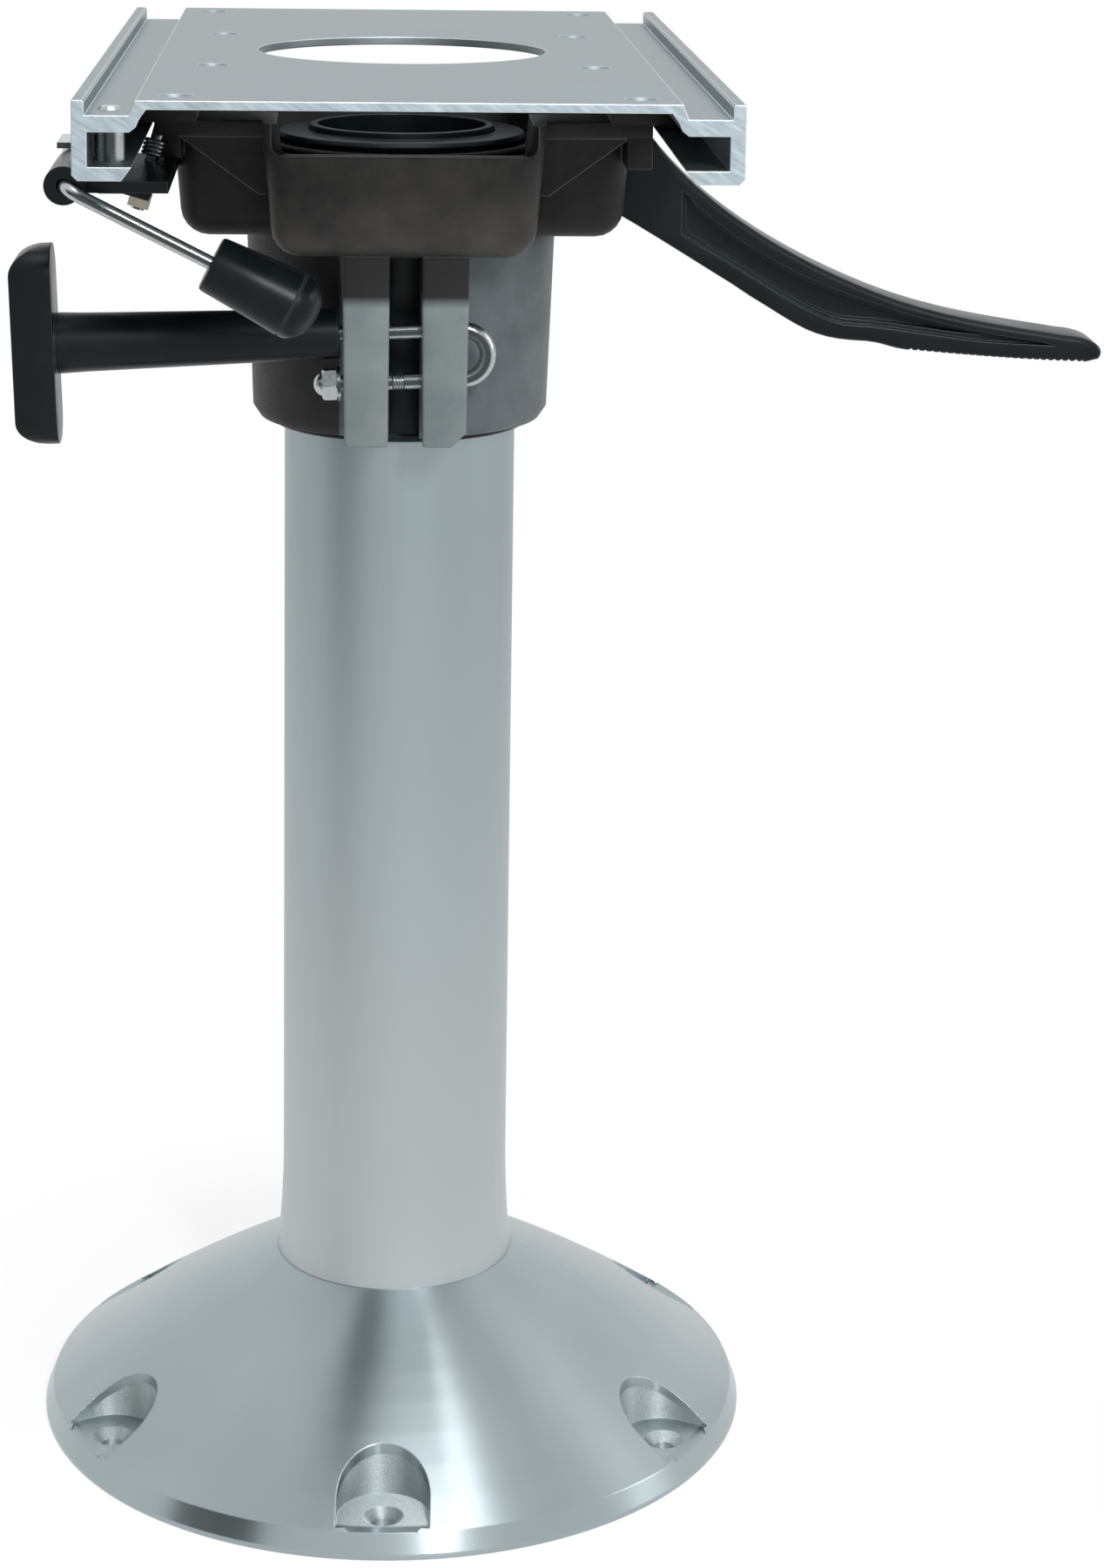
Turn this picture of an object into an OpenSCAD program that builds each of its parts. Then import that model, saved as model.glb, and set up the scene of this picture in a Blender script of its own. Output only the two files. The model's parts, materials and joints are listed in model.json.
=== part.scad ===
/* [Base] */
// Outside diameter of the cast base
base_d = 229; // [200:1:260]
// Height of the plain rim round the base
rim_h = 8; // [5:0.5:12]
// Draft of the rim, taken off the radius at its top
rim_draft = 2.5; // [1:0.5:5]
// Height of the seat on which the column stands
seat_z = 52.5; // [45:0.5:65]
// Outward bulge of the cone halfway up
cone_bulge = 1.7; // [0:0.1:3]
// Wall of the cast cone
base_wall = 5; // [4:0.5:7]
// Bolt circle of the deck bolts
bolt_pcd = 203; // [186:1:206]
// Number of deck bolts
bolt_count = 6; // [4:1:8]
// Through hole for a deck bolt
bolt_hole_d = 7; // [5:0.5:9]
// Countersink of a deck bolt
bolt_sink_d = 12.6; // [11:0.2:16]
// Width of the pocket round a deck bolt
pocket_w = 28.6; // [20:0.2:32]
// Height of the pocket floor
pocket_z = 8; // [7:0.5:10]
// Thickness of the pocket floor
pocket_floor = 4; // [3:0.5:5]
// Turn of the bolt pattern about the column
bolt_turn = -2.4; // [-15:0.1:15]

/* [Column] */
// Outside diameter of the column
column_d = 73; // [60:0.5:80]
// Wall of the column
column_wall = 3.2; // [2.5:0.1:4]
// Height of the top of the column above the deck
column_top = 416; // [380:1:460]
// Extra radius of the flared lower end
flare_r = 1.8; // [0.5:0.1:3]
// Height of the flared lower end
flare_h = 34; // [20:1:60]
// Diameter of the lock holes round the column
lock_hole_d = 6; // [5.5:0.1:7]
// Number of lock holes
lock_holes = 12; // [12:12:24]

/* [Bracket] */
// Collar radius at its lower rim
collar_r = 46.5; // [44:0.5:50]
// Draft of the collar on its height
collar_draft = 2; // [0:0.1:3]
// Height of the collar below the tub
collar_h = 62; // [50:1:75]
// Gap between the clamp ears
ear_gap = 9.4; // [6:0.2:14]
// Thickness of a clamp ear at its root
ear_t = 14.4; // [10:0.2:16]
// Thickness of a clamp ear at its lower end
ear_tip_t = 12.4; // [9:0.2:14]
// How far the ears reach in front of the axis
ear_reach = 64; // [60:0.5:70]
// Height of the tub floor underside below the column top
tub_drop = 23; // [20:0.5:26]
// Floor and wall of the tub
tub_wall = 4; // [3:0.5:5]
// Distance of the tub's side from the edge of the flange
tub_inset = 6.3; // [5:0.1:12]
// Front wall of the tub, from the axis
tub_front = 40; // [36:0.5:46]
// Rear wall of the tub, from the axis
tub_rear = 50; // [46:1:60]
// Front face of the pocket, from the axis
pocket_front = 72; // [66:0.5:78]
// Half width of the pocket
pocket_half_w = 42.2; // [36:0.2:44]
// Thickness of the top flange
flange_t = 4.9; // [4:0.1:6]
// Half length of the flange and wings along the slide
wing_half_l = 58; // [50:1:70]
// Outside radius of the hub round the column
hub_r = 42; // [40.5:0.5:44]

/* [Clamp] */
// Diameter of the clamp bolt wire
wire_d = 5; // [4:0.5:6]
// Spacing of the two legs of the clamp bolt
leg_pitch = 15.3; // [13:0.1:18]
// Height of the upper leg below the tub floor
leg_drop = 25.6; // [20:0.2:30]
// Distance of the clamp bolt in front of the axis
leg_front = 56.5; // [55:0.5:58]
// Across flats of the dome nut
nut_af = 9; // [8:0.5:10]
// Droop of the clamp bolt towards the handle, in degrees
clamp_droop = 2.2; // [0:0.1:4]

/* [Handle] */
// Length of the shaft of the tee handle
tee_shaft_l = 84; // [70:1:100]
// Shaft diameter at the ear
tee_small_d = 15; // [13:0.5:18]
// Shaft diameter at the bar
tee_large_d = 18.4; // [15:0.2:22]
// Length of the bar
tee_bar_l = 59.5; // [50:0.5:75]
// Thickness of the bar
tee_bar_t = 13; // [10:0.5:16]
// Width of the bar
tee_bar_w = 22; // [16:0.5:28]

/* [Slide] */
// Width of the slide plate
plate_w = 183; // [176:1:190]
// Length of the slide plate
plate_l = 308; // [280:1:330]
// Thickness of the deck
deck_t = 2.5; // [2:0.1:4]
// Height of the rails
rail_h = 22; // [20:0.2:24]
// Thickness of the outer rail wall
rail_wall = 4.2; // [3:0.1:5]
// Thickness of the upstanding lip
lip_t = 3.5; // [2.5:0.1:4]
// Depth of the ledge below the deck top
ledge_drop = 4.1; // [3:0.1:5]
// Thickness of the ledge
ledge_t = 4.6; // [3.5:0.1:5]
// Thickness of the foot
foot_t = 3.8; // [3:0.1:5]
// Reach of the foot from the outside
foot_reach = 16.2; // [14:0.2:17]
// Width of the ledge from the outside
ledge_w = 15.6; // [14:0.2:17]
// Diameter of the hole in the middle of the deck
deck_hole_d = 90; // [70:1:100]
// Half spacing of the inner seat holes across the plate
inner_x = 57; // [50:0.5:60]
// Half spacing of the inner seat holes along the plate
inner_y = 52; // [48:0.5:60]
// Half spacing of the outer seat holes across the plate
outer_x = 64; // [60:0.5:66]
// Distance of the outer seat holes from the ends of the plate
outer_inset = 14; // [9:0.5:34]
// Diameter of the seat holes
seat_hole_d = 6.5; // [5:0.1:8]
// Diameter of the countersinks of the seat holes
seat_sink_d = 9.6; // [8:0.1:12]
// Height of the deck top above the column top
deck_rise = 31; // [28:0.5:36]
// Clearance between a glide and its channel
glide_gap = 0.3; // [0.2:0.05:0.6]

/* [Slide lock] */
// Distance of the lock barrel from the axis
barrel_x = 97.5; // [97:0.1:102]
// Depth of the lock barrel axis below the rail
barrel_drop = 7.6; // [7:0.1:10]
// Diameter of the lock barrel
barrel_d = 11.2; // [10:0.2:12]
// Diameter of the lever rod
rod_d = 4; // [3:0.1:5]
// Distance of the lever rod in front of the axis
rod_front = 110; // [106:0.5:116]
// Downward slope of the lever rod
rod_slope = 27; // [20:0.5:35]
// Distance from barrel to grip along the rod
rod_l = 47; // [40:0.5:60]
// Length of the grip
grip_l = 35; // [28:0.5:45]
// Grip diameter at the rod
grip_small_d = 16.4; // [12:0.2:18]
// Grip diameter near its dome
grip_large_d = 20.4; // [16:0.2:24]

/* [Swivel lock] */
// Distance of the lever pivot from the axis
pivot_x = 71.6; // [71:0.1:74]
// Height of the lever pivot above the column top
pivot_rise = 3.2; // [2:0.1:4]
// Diameter of the lever pivot pin
pivot_d = 4; // [3:0.1:5]
// Width of the swivel lever
lever_w = 20; // [16:0.5:24]
// Depth of the recess on each side of the lever
lever_recess = 6; // [3:0.5:8]
// Diameter of the lock plunger
plunger_d = 5; // [4:0.1:5.4]
// Depth of the plunger axis below the column top
plunger_drop = 13; // [11:0.5:15]

/* [Hidden] */
$fn = 64;

run_gap = 0.08;      // radial clearance of a running fit
seat_gap = 0.15;     // radial clearance of parts that stay together
eps = 0.5;           // how far a cut runs past a face

base_r = base_d / 2;
column_r = column_d / 2;
bore_r = column_r + run_gap;
bush_r = column_r + 2.1;
lip_h = 3.4;
tub_z = column_top - tub_drop;
collar_z = tub_z - collar_h;
deck_z = column_top + deck_rise;
rail_z = deck_z - rail_h;
channel_floor = rail_z + foot_t;
channel_roof = deck_z - ledge_drop - ledge_t;
plate_half = plate_w / 2;
channel_x = plate_half - rail_wall;
foot_x = plate_half - foot_reach;
flange_z = column_top + 10.2;
flange_half_w = foot_x - 1;
leg_z = tub_z - leg_drop;
tub_half_w = flange_half_w - tub_inset;
pocket_drop = 1.8;   // how far the pocket's floor lies below the tub's
outer_y = plate_l / 2 - outer_inset;
split_x = 0.6;       // offset of the split from the middle
ear_l = split_x - ear_gap / 2 - ear_t;
ear_r = split_x + ear_gap / 2 + ear_t;
bend_in = 1.8;       // how far the bend starts inside the right ear
bend_x = ear_r - bend_in;
tee_x = ear_l - 0.3;
washer_x = ear_l - 0.22 - leg_pitch / 2 * sin(clamp_droop);
washer_t = 1;
hex_t = 4.4;
leg_over = 24;       // length of the upper leg past the ear
barrel_z = rail_z - barrel_drop;
plunger_z = column_top - plunger_drop;
pivot_z = column_top + pivot_rise;

// cylinder along +Y, from y = y0 to y = y1, at x, z
module rod_y(x, z, y0, y1, r) {
    translate([x, y1, z]) rotate([90, 0, 0]) cylinder(r = r, h = y1 - y0);
}

// cylinder along +X, from x = x0 to x = x1, at y, z
module rod_x(y, z, x0, x1, r) {
    translate([x0, y, z]) rotate([0, 90, 0]) cylinder(r = r, h = x1 - x0);
}

// an outline drawn in x and z, carried along Y from y0 to y1
module along_y(y0, y1) {
    translate([0, y1, 0]) rotate([90, 0, 0]) linear_extrude(y1 - y0) children();
}

// tilt of the clamp bolt, about the middle of the split
module droop() {
    mid_z = leg_z - leg_pitch / 2;
    translate([split_x, 0, mid_z]) rotate([0, -clamp_droop, 0]) translate([-split_x, 0, -mid_z]) children();
}

// rounded rectangle between two corners, made of circles and squares
module round_rect(x0, y0, x1, y1, r) {
    translate([x0 + r, y0]) square([x1 - x0 - 2 * r, y1 - y0]);
    translate([x0, y0 + r]) square([x1 - x0, y1 - y0 - 2 * r]);
    for (x = [x0 + r, x1 - r], y = [y0 + r, y1 - r]) translate([x, y]) circle(r);
}

// point of a cubic curve through its four control points
function curve(a, b, c, d, t) =
    pow(1 - t, 3) * a + 3 * t * pow(1 - t, 2) * b + 3 * t * t * (1 - t) * c + pow(t, 3) * d;
// points of the curve after its start
function curve_points(a, b, c, d, n) = [for (i = [1:n]) curve(a, b, c, d, i / n)];

// Base: a cast cone with a pocket round each deck bolt
cone_top_r = column_r + flare_r + 0.4;
rim_r = base_r - rim_draft;
spigot_r = column_r - column_wall - seat_gap;
spigot_h = 30;
// outside of the cone from the rim up, moved inwards by inset
function cone_line(inset) = [for (i = [0:8]) let (t = i / 8) [
    rim_r + (cone_top_r - rim_r) * t - inset, rim_h + (seat_z - rim_h) * t + 4 * cone_bulge * t * (1 - t)]];
module boss_limit() {
    rotate_extrude($fn = 128)
        polygon(concat([[0, pocket_floor], [rim_r - 1, pocket_floor]], cone_line(1), [[0, seat_z]]));
}
module base_shell() {
    slope = (seat_z - rim_h) / (rim_r - cone_top_r);
    drop = base_wall * sqrt(1 + slope * slope);
    inner_r = rim_r - (drop - (rim_h - pocket_floor)) / slope;
    bore = spigot_r - base_wall;
    rotate_extrude($fn = 128)
        polygon(concat([[base_r - 6, 0], [base_r - 0.6, 0], [base_r, 0.8], [base_r, 2]], cone_line(0),
            [[spigot_r, seat_z], [spigot_r, seat_z + spigot_h], [bore, seat_z + spigot_h],
            [bore, seat_z - drop + (cone_top_r - bore) * slope], [inner_r, pocket_floor],
            [base_r - 6, pocket_floor]]));
}
module at_bolts() {
    for (i = [0:bolt_count - 1])
        rotate([0, 0, -90 + bolt_turn + i * 360 / bolt_count]) translate([bolt_pcd / 2, 0, 0]) children();
}
module base() {
    pocket_end = rim_r - 2 - bolt_pcd / 2;
    color("silver") difference() {
        union() {
            base_shell();
            intersection() {
                boss_limit();
                at_bolts() translate([0, 0, pocket_floor])
                    cylinder(d = pocket_w + 2 * base_wall - 2, h = seat_z);
            }
            // bosses that stand on the deck under the bolt holes
            at_bolts() cylinder(d = bolt_sink_d + 6, h = pocket_z - 1);
        }
        at_bolts() {
            translate([0, 0, pocket_z]) linear_extrude(seat_z) {
                circle(d = pocket_w);
                translate([0, -pocket_w / 2]) square([pocket_end, pocket_w]);
            }
            translate([0, 0, -eps]) cylinder(d = bolt_hole_d, h = pocket_z);
            translate([0, 0, pocket_z - (bolt_sink_d - bolt_hole_d) / 2 + 0.01])
                cylinder(d1 = bolt_hole_d, d2 = bolt_sink_d, h = (bolt_sink_d - bolt_hole_d) / 2);
        }
    }
}

// Column: an anodised tube with a flared foot and a row of lock holes
module column() {
    inner_r = column_r - column_wall;
    color("lightsteelblue") difference() {
        rotate_extrude($fn = 96)
            polygon(concat([[inner_r, seat_z]],
                [for (i = [0:6]) [column_r + flare_r * pow(1 - i / 6, 2), seat_z + flare_h * i / 6]],
                [[column_r, column_top], [inner_r, column_top]]));
        for (i = [0:lock_holes - 1])
            rotate([0, 0, i * 360 / lock_holes])
                rod_x(0, plunger_z, inner_r - eps, column_r + eps, lock_hole_d / 2);
    }
}

// Collar bushing: a plastic sleeve with a lip under the collar, slit at the rear
bush_slit = 3;
module collar_bushing() {
    top = tub_z - 2;
    color("black") difference() {
        union() {
            translate([0, 0, collar_z - lip_h]) cylinder(r = bush_r + 2, h = lip_h);
            translate([0, 0, collar_z - eps]) cylinder(r = bush_r, h = top - collar_z + eps);
        }
        translate([0, 0, collar_z - lip_h - eps]) cylinder(r = bore_r, h = collar_h + lip_h + 2 * eps);
        translate([-bush_slit / 2, 3, collar_z - lip_h - eps])
            cube([bush_slit, bush_r, collar_h + lip_h + 2 * eps]);
    }
}

// Swivel ring: the plastic thrust ring that carries the bracket on the column
ring_r = column_r + 2.8;
ring_hole_r = 26.5;
ring_t = 6;
module swivel_ring() {
    color("black") rotate_extrude($fn = 96)
        polygon([[ring_hole_r, column_top], [ring_r, column_top], [ring_r, column_top + ring_t - 1.2],
            [ring_r - 1.2, column_top + ring_t], [ring_hole_r + 3, column_top + ring_t],
            [ring_hole_r + 2, column_top + ring_t + 2], [ring_hole_r, column_top + ring_t + 2]]);
}

// Swivel bracket: one casting with split collar, clamp ears, hub, tub, pocket, flange and wings
wing_z0 = channel_floor + 1.4;
wing_z1 = channel_roof - 1.4;
wing_x = channel_x - 2.6;
flange_top = flange_z + flange_t;
module tub_outline(half_top, half_low, z_low, z_top) {
    r = 6;
    polygon(concat([[-half_top, z_top], [-half_low, z_low + r]],
        [for (a = [190:20:270]) [-half_low + r + r * cos(a), z_low + r + r * sin(a)]],
        [for (a = [270:20:350]) [half_low - r + r * cos(a), z_low + r + r * sin(a)]],
        [[half_low, z_low + r], [half_top, z_top]]));
}
tub_draft = 1.5;
pocket_draft = 3.4;
module tub_body(inset) {
    top = flange_top + (inset > 0 ? eps : 0);
    intersection() {
        along_y(-tub_front + inset, tub_rear - inset)
            tub_outline(tub_half_w - inset, tub_half_w - tub_draft - inset, tub_z, top);
        translate([0, 0, tub_z + inset]) linear_extrude(80)
            round_rect(-tub_half_w, -tub_front + inset, tub_half_w, tub_rear - inset, 10 - inset);
    }
    intersection() {
        along_y(-pocket_front + inset, 0)
            tub_outline(pocket_half_w - inset, pocket_half_w - pocket_draft - inset, tub_z - pocket_drop, top);
        translate([0, 0, tub_z - pocket_drop + inset]) linear_extrude(80)
            round_rect(-pocket_half_w, -pocket_front + inset, pocket_half_w, 20, 8 - inset);
    }
}
module ear(side) {
    inner = ear_gap / 2;
    along_y(-ear_reach, -collar_r + 12) translate([split_x, 0]) polygon([[side * inner, tub_z + 1],
        [side * (inner + ear_t), tub_z + 1], [side * (inner + ear_t), collar_z + 4],
        [side * (inner + ear_t - 3), collar_z], [side * (inner + ear_t - ear_tip_t), collar_z]]);
}
skirt_h = 9.3;
module bracket_solid() {
    translate([0, 0, collar_z])
        cylinder(r1 = collar_r, r2 = collar_r + collar_draft, h = collar_h + 1, $fn = 96);
    ear(-1);
    ear(1);
    difference() {
        union() {
            tub_body(0);
            translate([-flange_half_w, -wing_half_l, flange_z])
                cube([2 * flange_half_w, 2 * wing_half_l, flange_t]);
        }
        tub_body(tub_wall);
        // the front of the pocket is lower than the flange
        along_y(-pocket_front - eps, -pocket_front + tub_wall + eps)
            round_rect(-pocket_half_w + 1.2, column_top + 6, pocket_half_w - 1.2, flange_top + 20, 3);
    }
    // gussets between flange and pocket
    for (s = [-1, 1]) along_y(-wing_half_l + 1, -wing_half_l + 4.5)
        polygon([[s * (tub_half_w - 2), flange_z + 0.5], [s * (pocket_half_w - 1), flange_z + 0.5],
            [s * (pocket_half_w - 1), flange_z - 17.5], [s * (pocket_half_w + 1.4), flange_z - 17.5]]);
    // wings that carry the glides
    for (s = [-1, 1]) {
        x0 = flange_half_w - 5;
        translate([s > 0 ? x0 : -wing_x, -wing_half_l, wing_z0])
            cube([wing_x - x0, 2 * wing_half_l, wing_z1 - wing_z0]);
    }
    // lugs for the lever pivot and for the slide lock
    for (y = [[-wing_half_l, -lever_w / 2 - 0.6], [lever_w / 2 + 0.6, lever_w / 2 + 10]])
        translate([tub_half_w - 2, y[0], flange_z - skirt_h])
            cube([flange_half_w - tub_half_w + 2, y[1] - y[0], skirt_h + eps]);
    // skirt behind the slide lock's bolt
    translate([-flange_half_w, lock_bolt_y + 6, arm_z1 + 0.3])
        cube([flange_half_w - tub_half_w + 2, 30, flange_z - arm_z1 + 0.2]);
    // hub round the column
    translate([0, 0, tub_z]) cylinder(r = hub_r, h = column_top + 3 - tub_z);
}
module swivel_bracket() {
    color("dimgray") difference() {
        bracket_solid();
        translate([0, 0, collar_z - eps]) cylinder(r = bush_r + seat_gap, h = collar_h - 2 + seat_gap + eps);
        translate([0, 0, collar_z]) cylinder(r = bore_r + 0.3, h = column_top - collar_z + eps);
        translate([0, 0, column_top]) cylinder(r = ring_r + seat_gap, h = 20);
        // the split of the collar
        translate([split_x - ear_gap / 2, -ear_reach - eps, collar_z - eps])
            cube([ear_gap, ear_reach - 20, collar_h - 4]);
        droop() for (z = [leg_z, leg_z - leg_pitch])
            rod_x(-leg_front, z, ear_l - 1, ear_r + 1, wire_d / 2 + seat_gap);
        // the bores widen where the bend starts
        droop() for (z = [leg_z, leg_z - leg_pitch])
            rod_x(-leg_front, z, bend_x - 0.4, ear_r + 1, wire_d / 2 + 2 * seat_gap + 0.2);
        // slot and notch for the swivel lever, with the bore of its pin
        translate([tub_half_w - 9, -lever_w / 2 - 0.6, column_top - 4])
            cube([20, lever_w + 1.2, flange_z - column_top + 4]);
        translate([pivot_x - lever_root - 0.6, -lever_w / 2 - 0.6, tub_z - eps])
            cube([20, lever_w + 1.2, column_top - tub_z]);
        rod_y(pivot_x, pivot_z, -wing_half_l - eps, lever_w / 2 + 10 + eps, pivot_d / 2 + 0.02);
        // bore of the plunger through hub and wall
        rod_x(0, plunger_z, column_r - 2, tub_half_w + eps, plunger_d / 2 + run_gap);
        // bolt hole of the slide lock, with a seat for the head
        lean() translate([-bolt_x, lock_bolt_y, wing_z0 - 20]) cylinder(r = 2.2, h = 40);
        lean() translate([-bolt_x, lock_bolt_y, head_z - 0.05]) cylinder(r = 3.4, h = 5);
    }
}

// Clamp bolt: a bent wire whose legs pass through both ears
module clamp_bolt() {
    r = leg_pitch / 2;
    color("gainsboro") droop() {
        rod_x(-leg_front, leg_z, ear_l - leg_over, bend_x, wire_d / 2);
        rod_x(-leg_front, leg_z - leg_pitch, washer_x - washer_t - hex_t, bend_x, wire_d / 2);
        translate([bend_x, -leg_front, leg_z - r]) rotate([90, 0, 0]) intersection() {
            rotate_extrude() translate([r, 0]) circle(d = wire_d, $fn = 32);
            translate([0, -2 * r, -r]) cube([2 * r + wire_d, 4 * r, 2 * r]);
        }
    }
}

module clamp_washer() {
    color("silver") droop() difference() {
        rod_x(-leg_front, leg_z - leg_pitch, washer_x - washer_t, washer_x, nut_af / 2 + 0.8);
        rod_x(-leg_front, leg_z - leg_pitch, washer_x - washer_t - eps, washer_x + eps, wire_d / 2 + seat_gap);
    }
}

module dome_nut() {
    x1 = washer_x - washer_t;
    cap_d = nut_af - 1.4;
    color("gainsboro") droop() difference() {
        union() {
            translate([x1 - hex_t, -leg_front, leg_z - leg_pitch]) rotate([0, 90, 0]) rotate([0, 0, 30])
                cylinder(d = nut_af / cos(30), h = hex_t, $fn = 6);
            intersection() {
                translate([x1 - hex_t + 0.8, -leg_front, leg_z - leg_pitch]) sphere(d = cap_d);
                translate([x1 - hex_t - cap_d, -leg_front - cap_d, leg_z - leg_pitch - cap_d])
                    cube([cap_d + eps, 2 * cap_d, 2 * cap_d]);
            }
        }
        rod_x(-leg_front, leg_z - leg_pitch, x1 - hex_t - 0.8, x1 + eps, wire_d / 2 + run_gap);
    }
}

// Tee handle: one moulding that screws on the upper leg, with a metal insert
insert_r = 4.6;
insert_l = 20;
// outline of the bar in x and z: flat inside, crowned ends outside
bar_crown = 8;
module bar_outline(x0) {
    half = tee_bar_l / 2;
    end = [for (a = [0:15:90]) [x0 - tee_bar_t * sin(a), half - bar_crown + bar_crown * cos(a)]];
    low = [for (a = [90:-15:0]) [x0 - tee_bar_t * sin(a), -half + bar_crown - bar_crown * cos(a)]];
    translate([0, leg_z]) polygon(concat(end, low));
}
module tee_handle() {
    x1 = tee_x;
    x0 = x1 - tee_shaft_l;
    color("black") droop() difference() {
        union() {
            translate([x0 - 2, -leg_front, leg_z]) rotate([0, 90, 0])
                cylinder(d1 = tee_large_d, d2 = tee_small_d, h = tee_shaft_l + 2);
            intersection() {
                along_y(-leg_front - tee_bar_w / 2, -leg_front + tee_bar_w / 2) bar_outline(x0);
                translate([x0 - tee_bar_t - eps, -leg_front, leg_z]) rotate([90, 0, 90])
                    linear_extrude(tee_bar_t + 2 * eps)
                        round_rect(-tee_bar_w / 2, -tee_bar_l / 2, tee_bar_w / 2, tee_bar_l / 2, 9);
            }
        }
        rod_x(-leg_front, leg_z, x1 - insert_l, x1 + eps, insert_r + seat_gap / 3);
        rod_x(-leg_front, leg_z, x1 - insert_l - 6, x1, wire_d / 2 + 0.5);
    }
}

module tee_insert() {
    color("gold") droop() difference() {
        rod_x(-leg_front, leg_z, tee_x - insert_l, tee_x, insert_r);
        rod_x(-leg_front, leg_z, tee_x - insert_l - eps, tee_x + eps, wire_d / 2 + run_gap);
    }
}

// Slide plate: an extrusion with deck, ledges, upstanding lips, channels and feet
module rail_profile() {
    step_x = plate_half - ledge_w;
    right = [[step_x - 1.6, deck_z], [step_x, deck_z - ledge_drop],
        [plate_half - lip_t, deck_z - ledge_drop], [plate_half - lip_t, deck_z - 0.6],
        [plate_half - lip_t + 0.6, deck_z], [plate_half, deck_z], [plate_half, rail_z + 1.6],
        [plate_half - 1.6, rail_z], [foot_x + 2.8, rail_z], [foot_x, channel_floor],
        [channel_x, channel_floor], [channel_x, channel_roof], [foot_x + 0.6, channel_roof],
        [foot_x - 1.2, channel_roof + 1.4], [foot_x - 2, channel_roof + 3.4], [foot_x - 4, deck_z - deck_t]];
    last = len(right) - 1;
    polygon(concat(right, [for (i = [0:last]) [-right[last - i][0], right[last - i][1]]]));
}
module at_seat_holes() {
    for (x = [-1, 1], y = [-1, 1]) {
        translate([x * inner_x, y * inner_y, deck_z]) children();
        translate([x * outer_x, y * outer_y, deck_z]) children();
    }
}
module slide_plate() {
    color("lightgray") difference() {
        along_y(-plate_l / 2, plate_l / 2) rail_profile();
        translate([0, 0, deck_z - deck_t - eps]) cylinder(d = deck_hole_d, h = deck_t + 2 * eps, $fn = 96);
        translate([-stop_x, -stop_y, channel_roof - eps])
            cylinder(r = stop_neck_r + 0.02, h = ledge_t + 2 * eps);
        at_seat_holes() {
            translate([0, 0, -deck_t - eps]) cylinder(d = seat_hole_d, h = deck_t + 2 * eps, $fn = 32);
            translate([0, 0, -(seat_sink_d - seat_hole_d) / 2])
                cylinder(d1 = seat_hole_d, d2 = seat_sink_d + 0.1, h = (seat_sink_d - seat_hole_d) / 2 + 0.05,
                    $fn = 32);
        }
    }
}

// Stop pin: stands in the left channel near its front end, its neck riveted over on the ledge
stop_x = plate_half - 9.5;
stop_y = plate_l / 2 - 16;
stop_r = 4.3;
stop_neck_r = 2.5;
module stop_pin() {
    color("silver") translate([-stop_x, -stop_y, 0]) {
        translate([0, 0, channel_floor]) cylinder(r = stop_r, h = channel_roof - channel_floor);
        translate([0, 0, channel_roof - eps]) cylinder(r = stop_neck_r, h = ledge_t + eps + 0.5);
        translate([0, 0, channel_roof + ledge_t]) cylinder(r1 = stop_neck_r + 0.9, r2 = stop_neck_r, h = 0.9);
    }
}

// Glides: plastic shoes that cap the wings in the channels
glide_l = 40;
module glide(side, y0) {
    x_out = channel_x - glide_gap;
    x_in = foot_x + 1.2;
    x0 = side > 0 ? x_in : -x_out;
    color("black") difference() {
        translate([x0, y0, channel_floor + glide_gap])
            cube([x_out - x_in, glide_l, channel_roof - channel_floor - 2 * glide_gap]);
        translate([side > 0 ? x_in - eps : -wing_x, y0 - eps, wing_z0])
            cube([wing_x - x_in + eps, glide_l + 2 * eps, wing_z1 - wing_z0]);
    }
}
glide_y = wing_half_l - glide_l - 3;
module glide_front_left() { glide(-1, -glide_y - glide_l); }
module glide_rear_left() { glide(-1, glide_y); }
module glide_front_right() { glide(1, -glide_y - glide_l); }
module glide_rear_right() { glide(1, glide_y); }

// Slide lock housing: an arm under the rail with the lever barrel at its outer end
bolt_x = flange_half_w - 2.2;
lock_lean = 16;      // slant of the lock bolt
nut_w = 6.4;
nut_top = wing_z0 - 22.55;
nut_h = 4.2;
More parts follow.
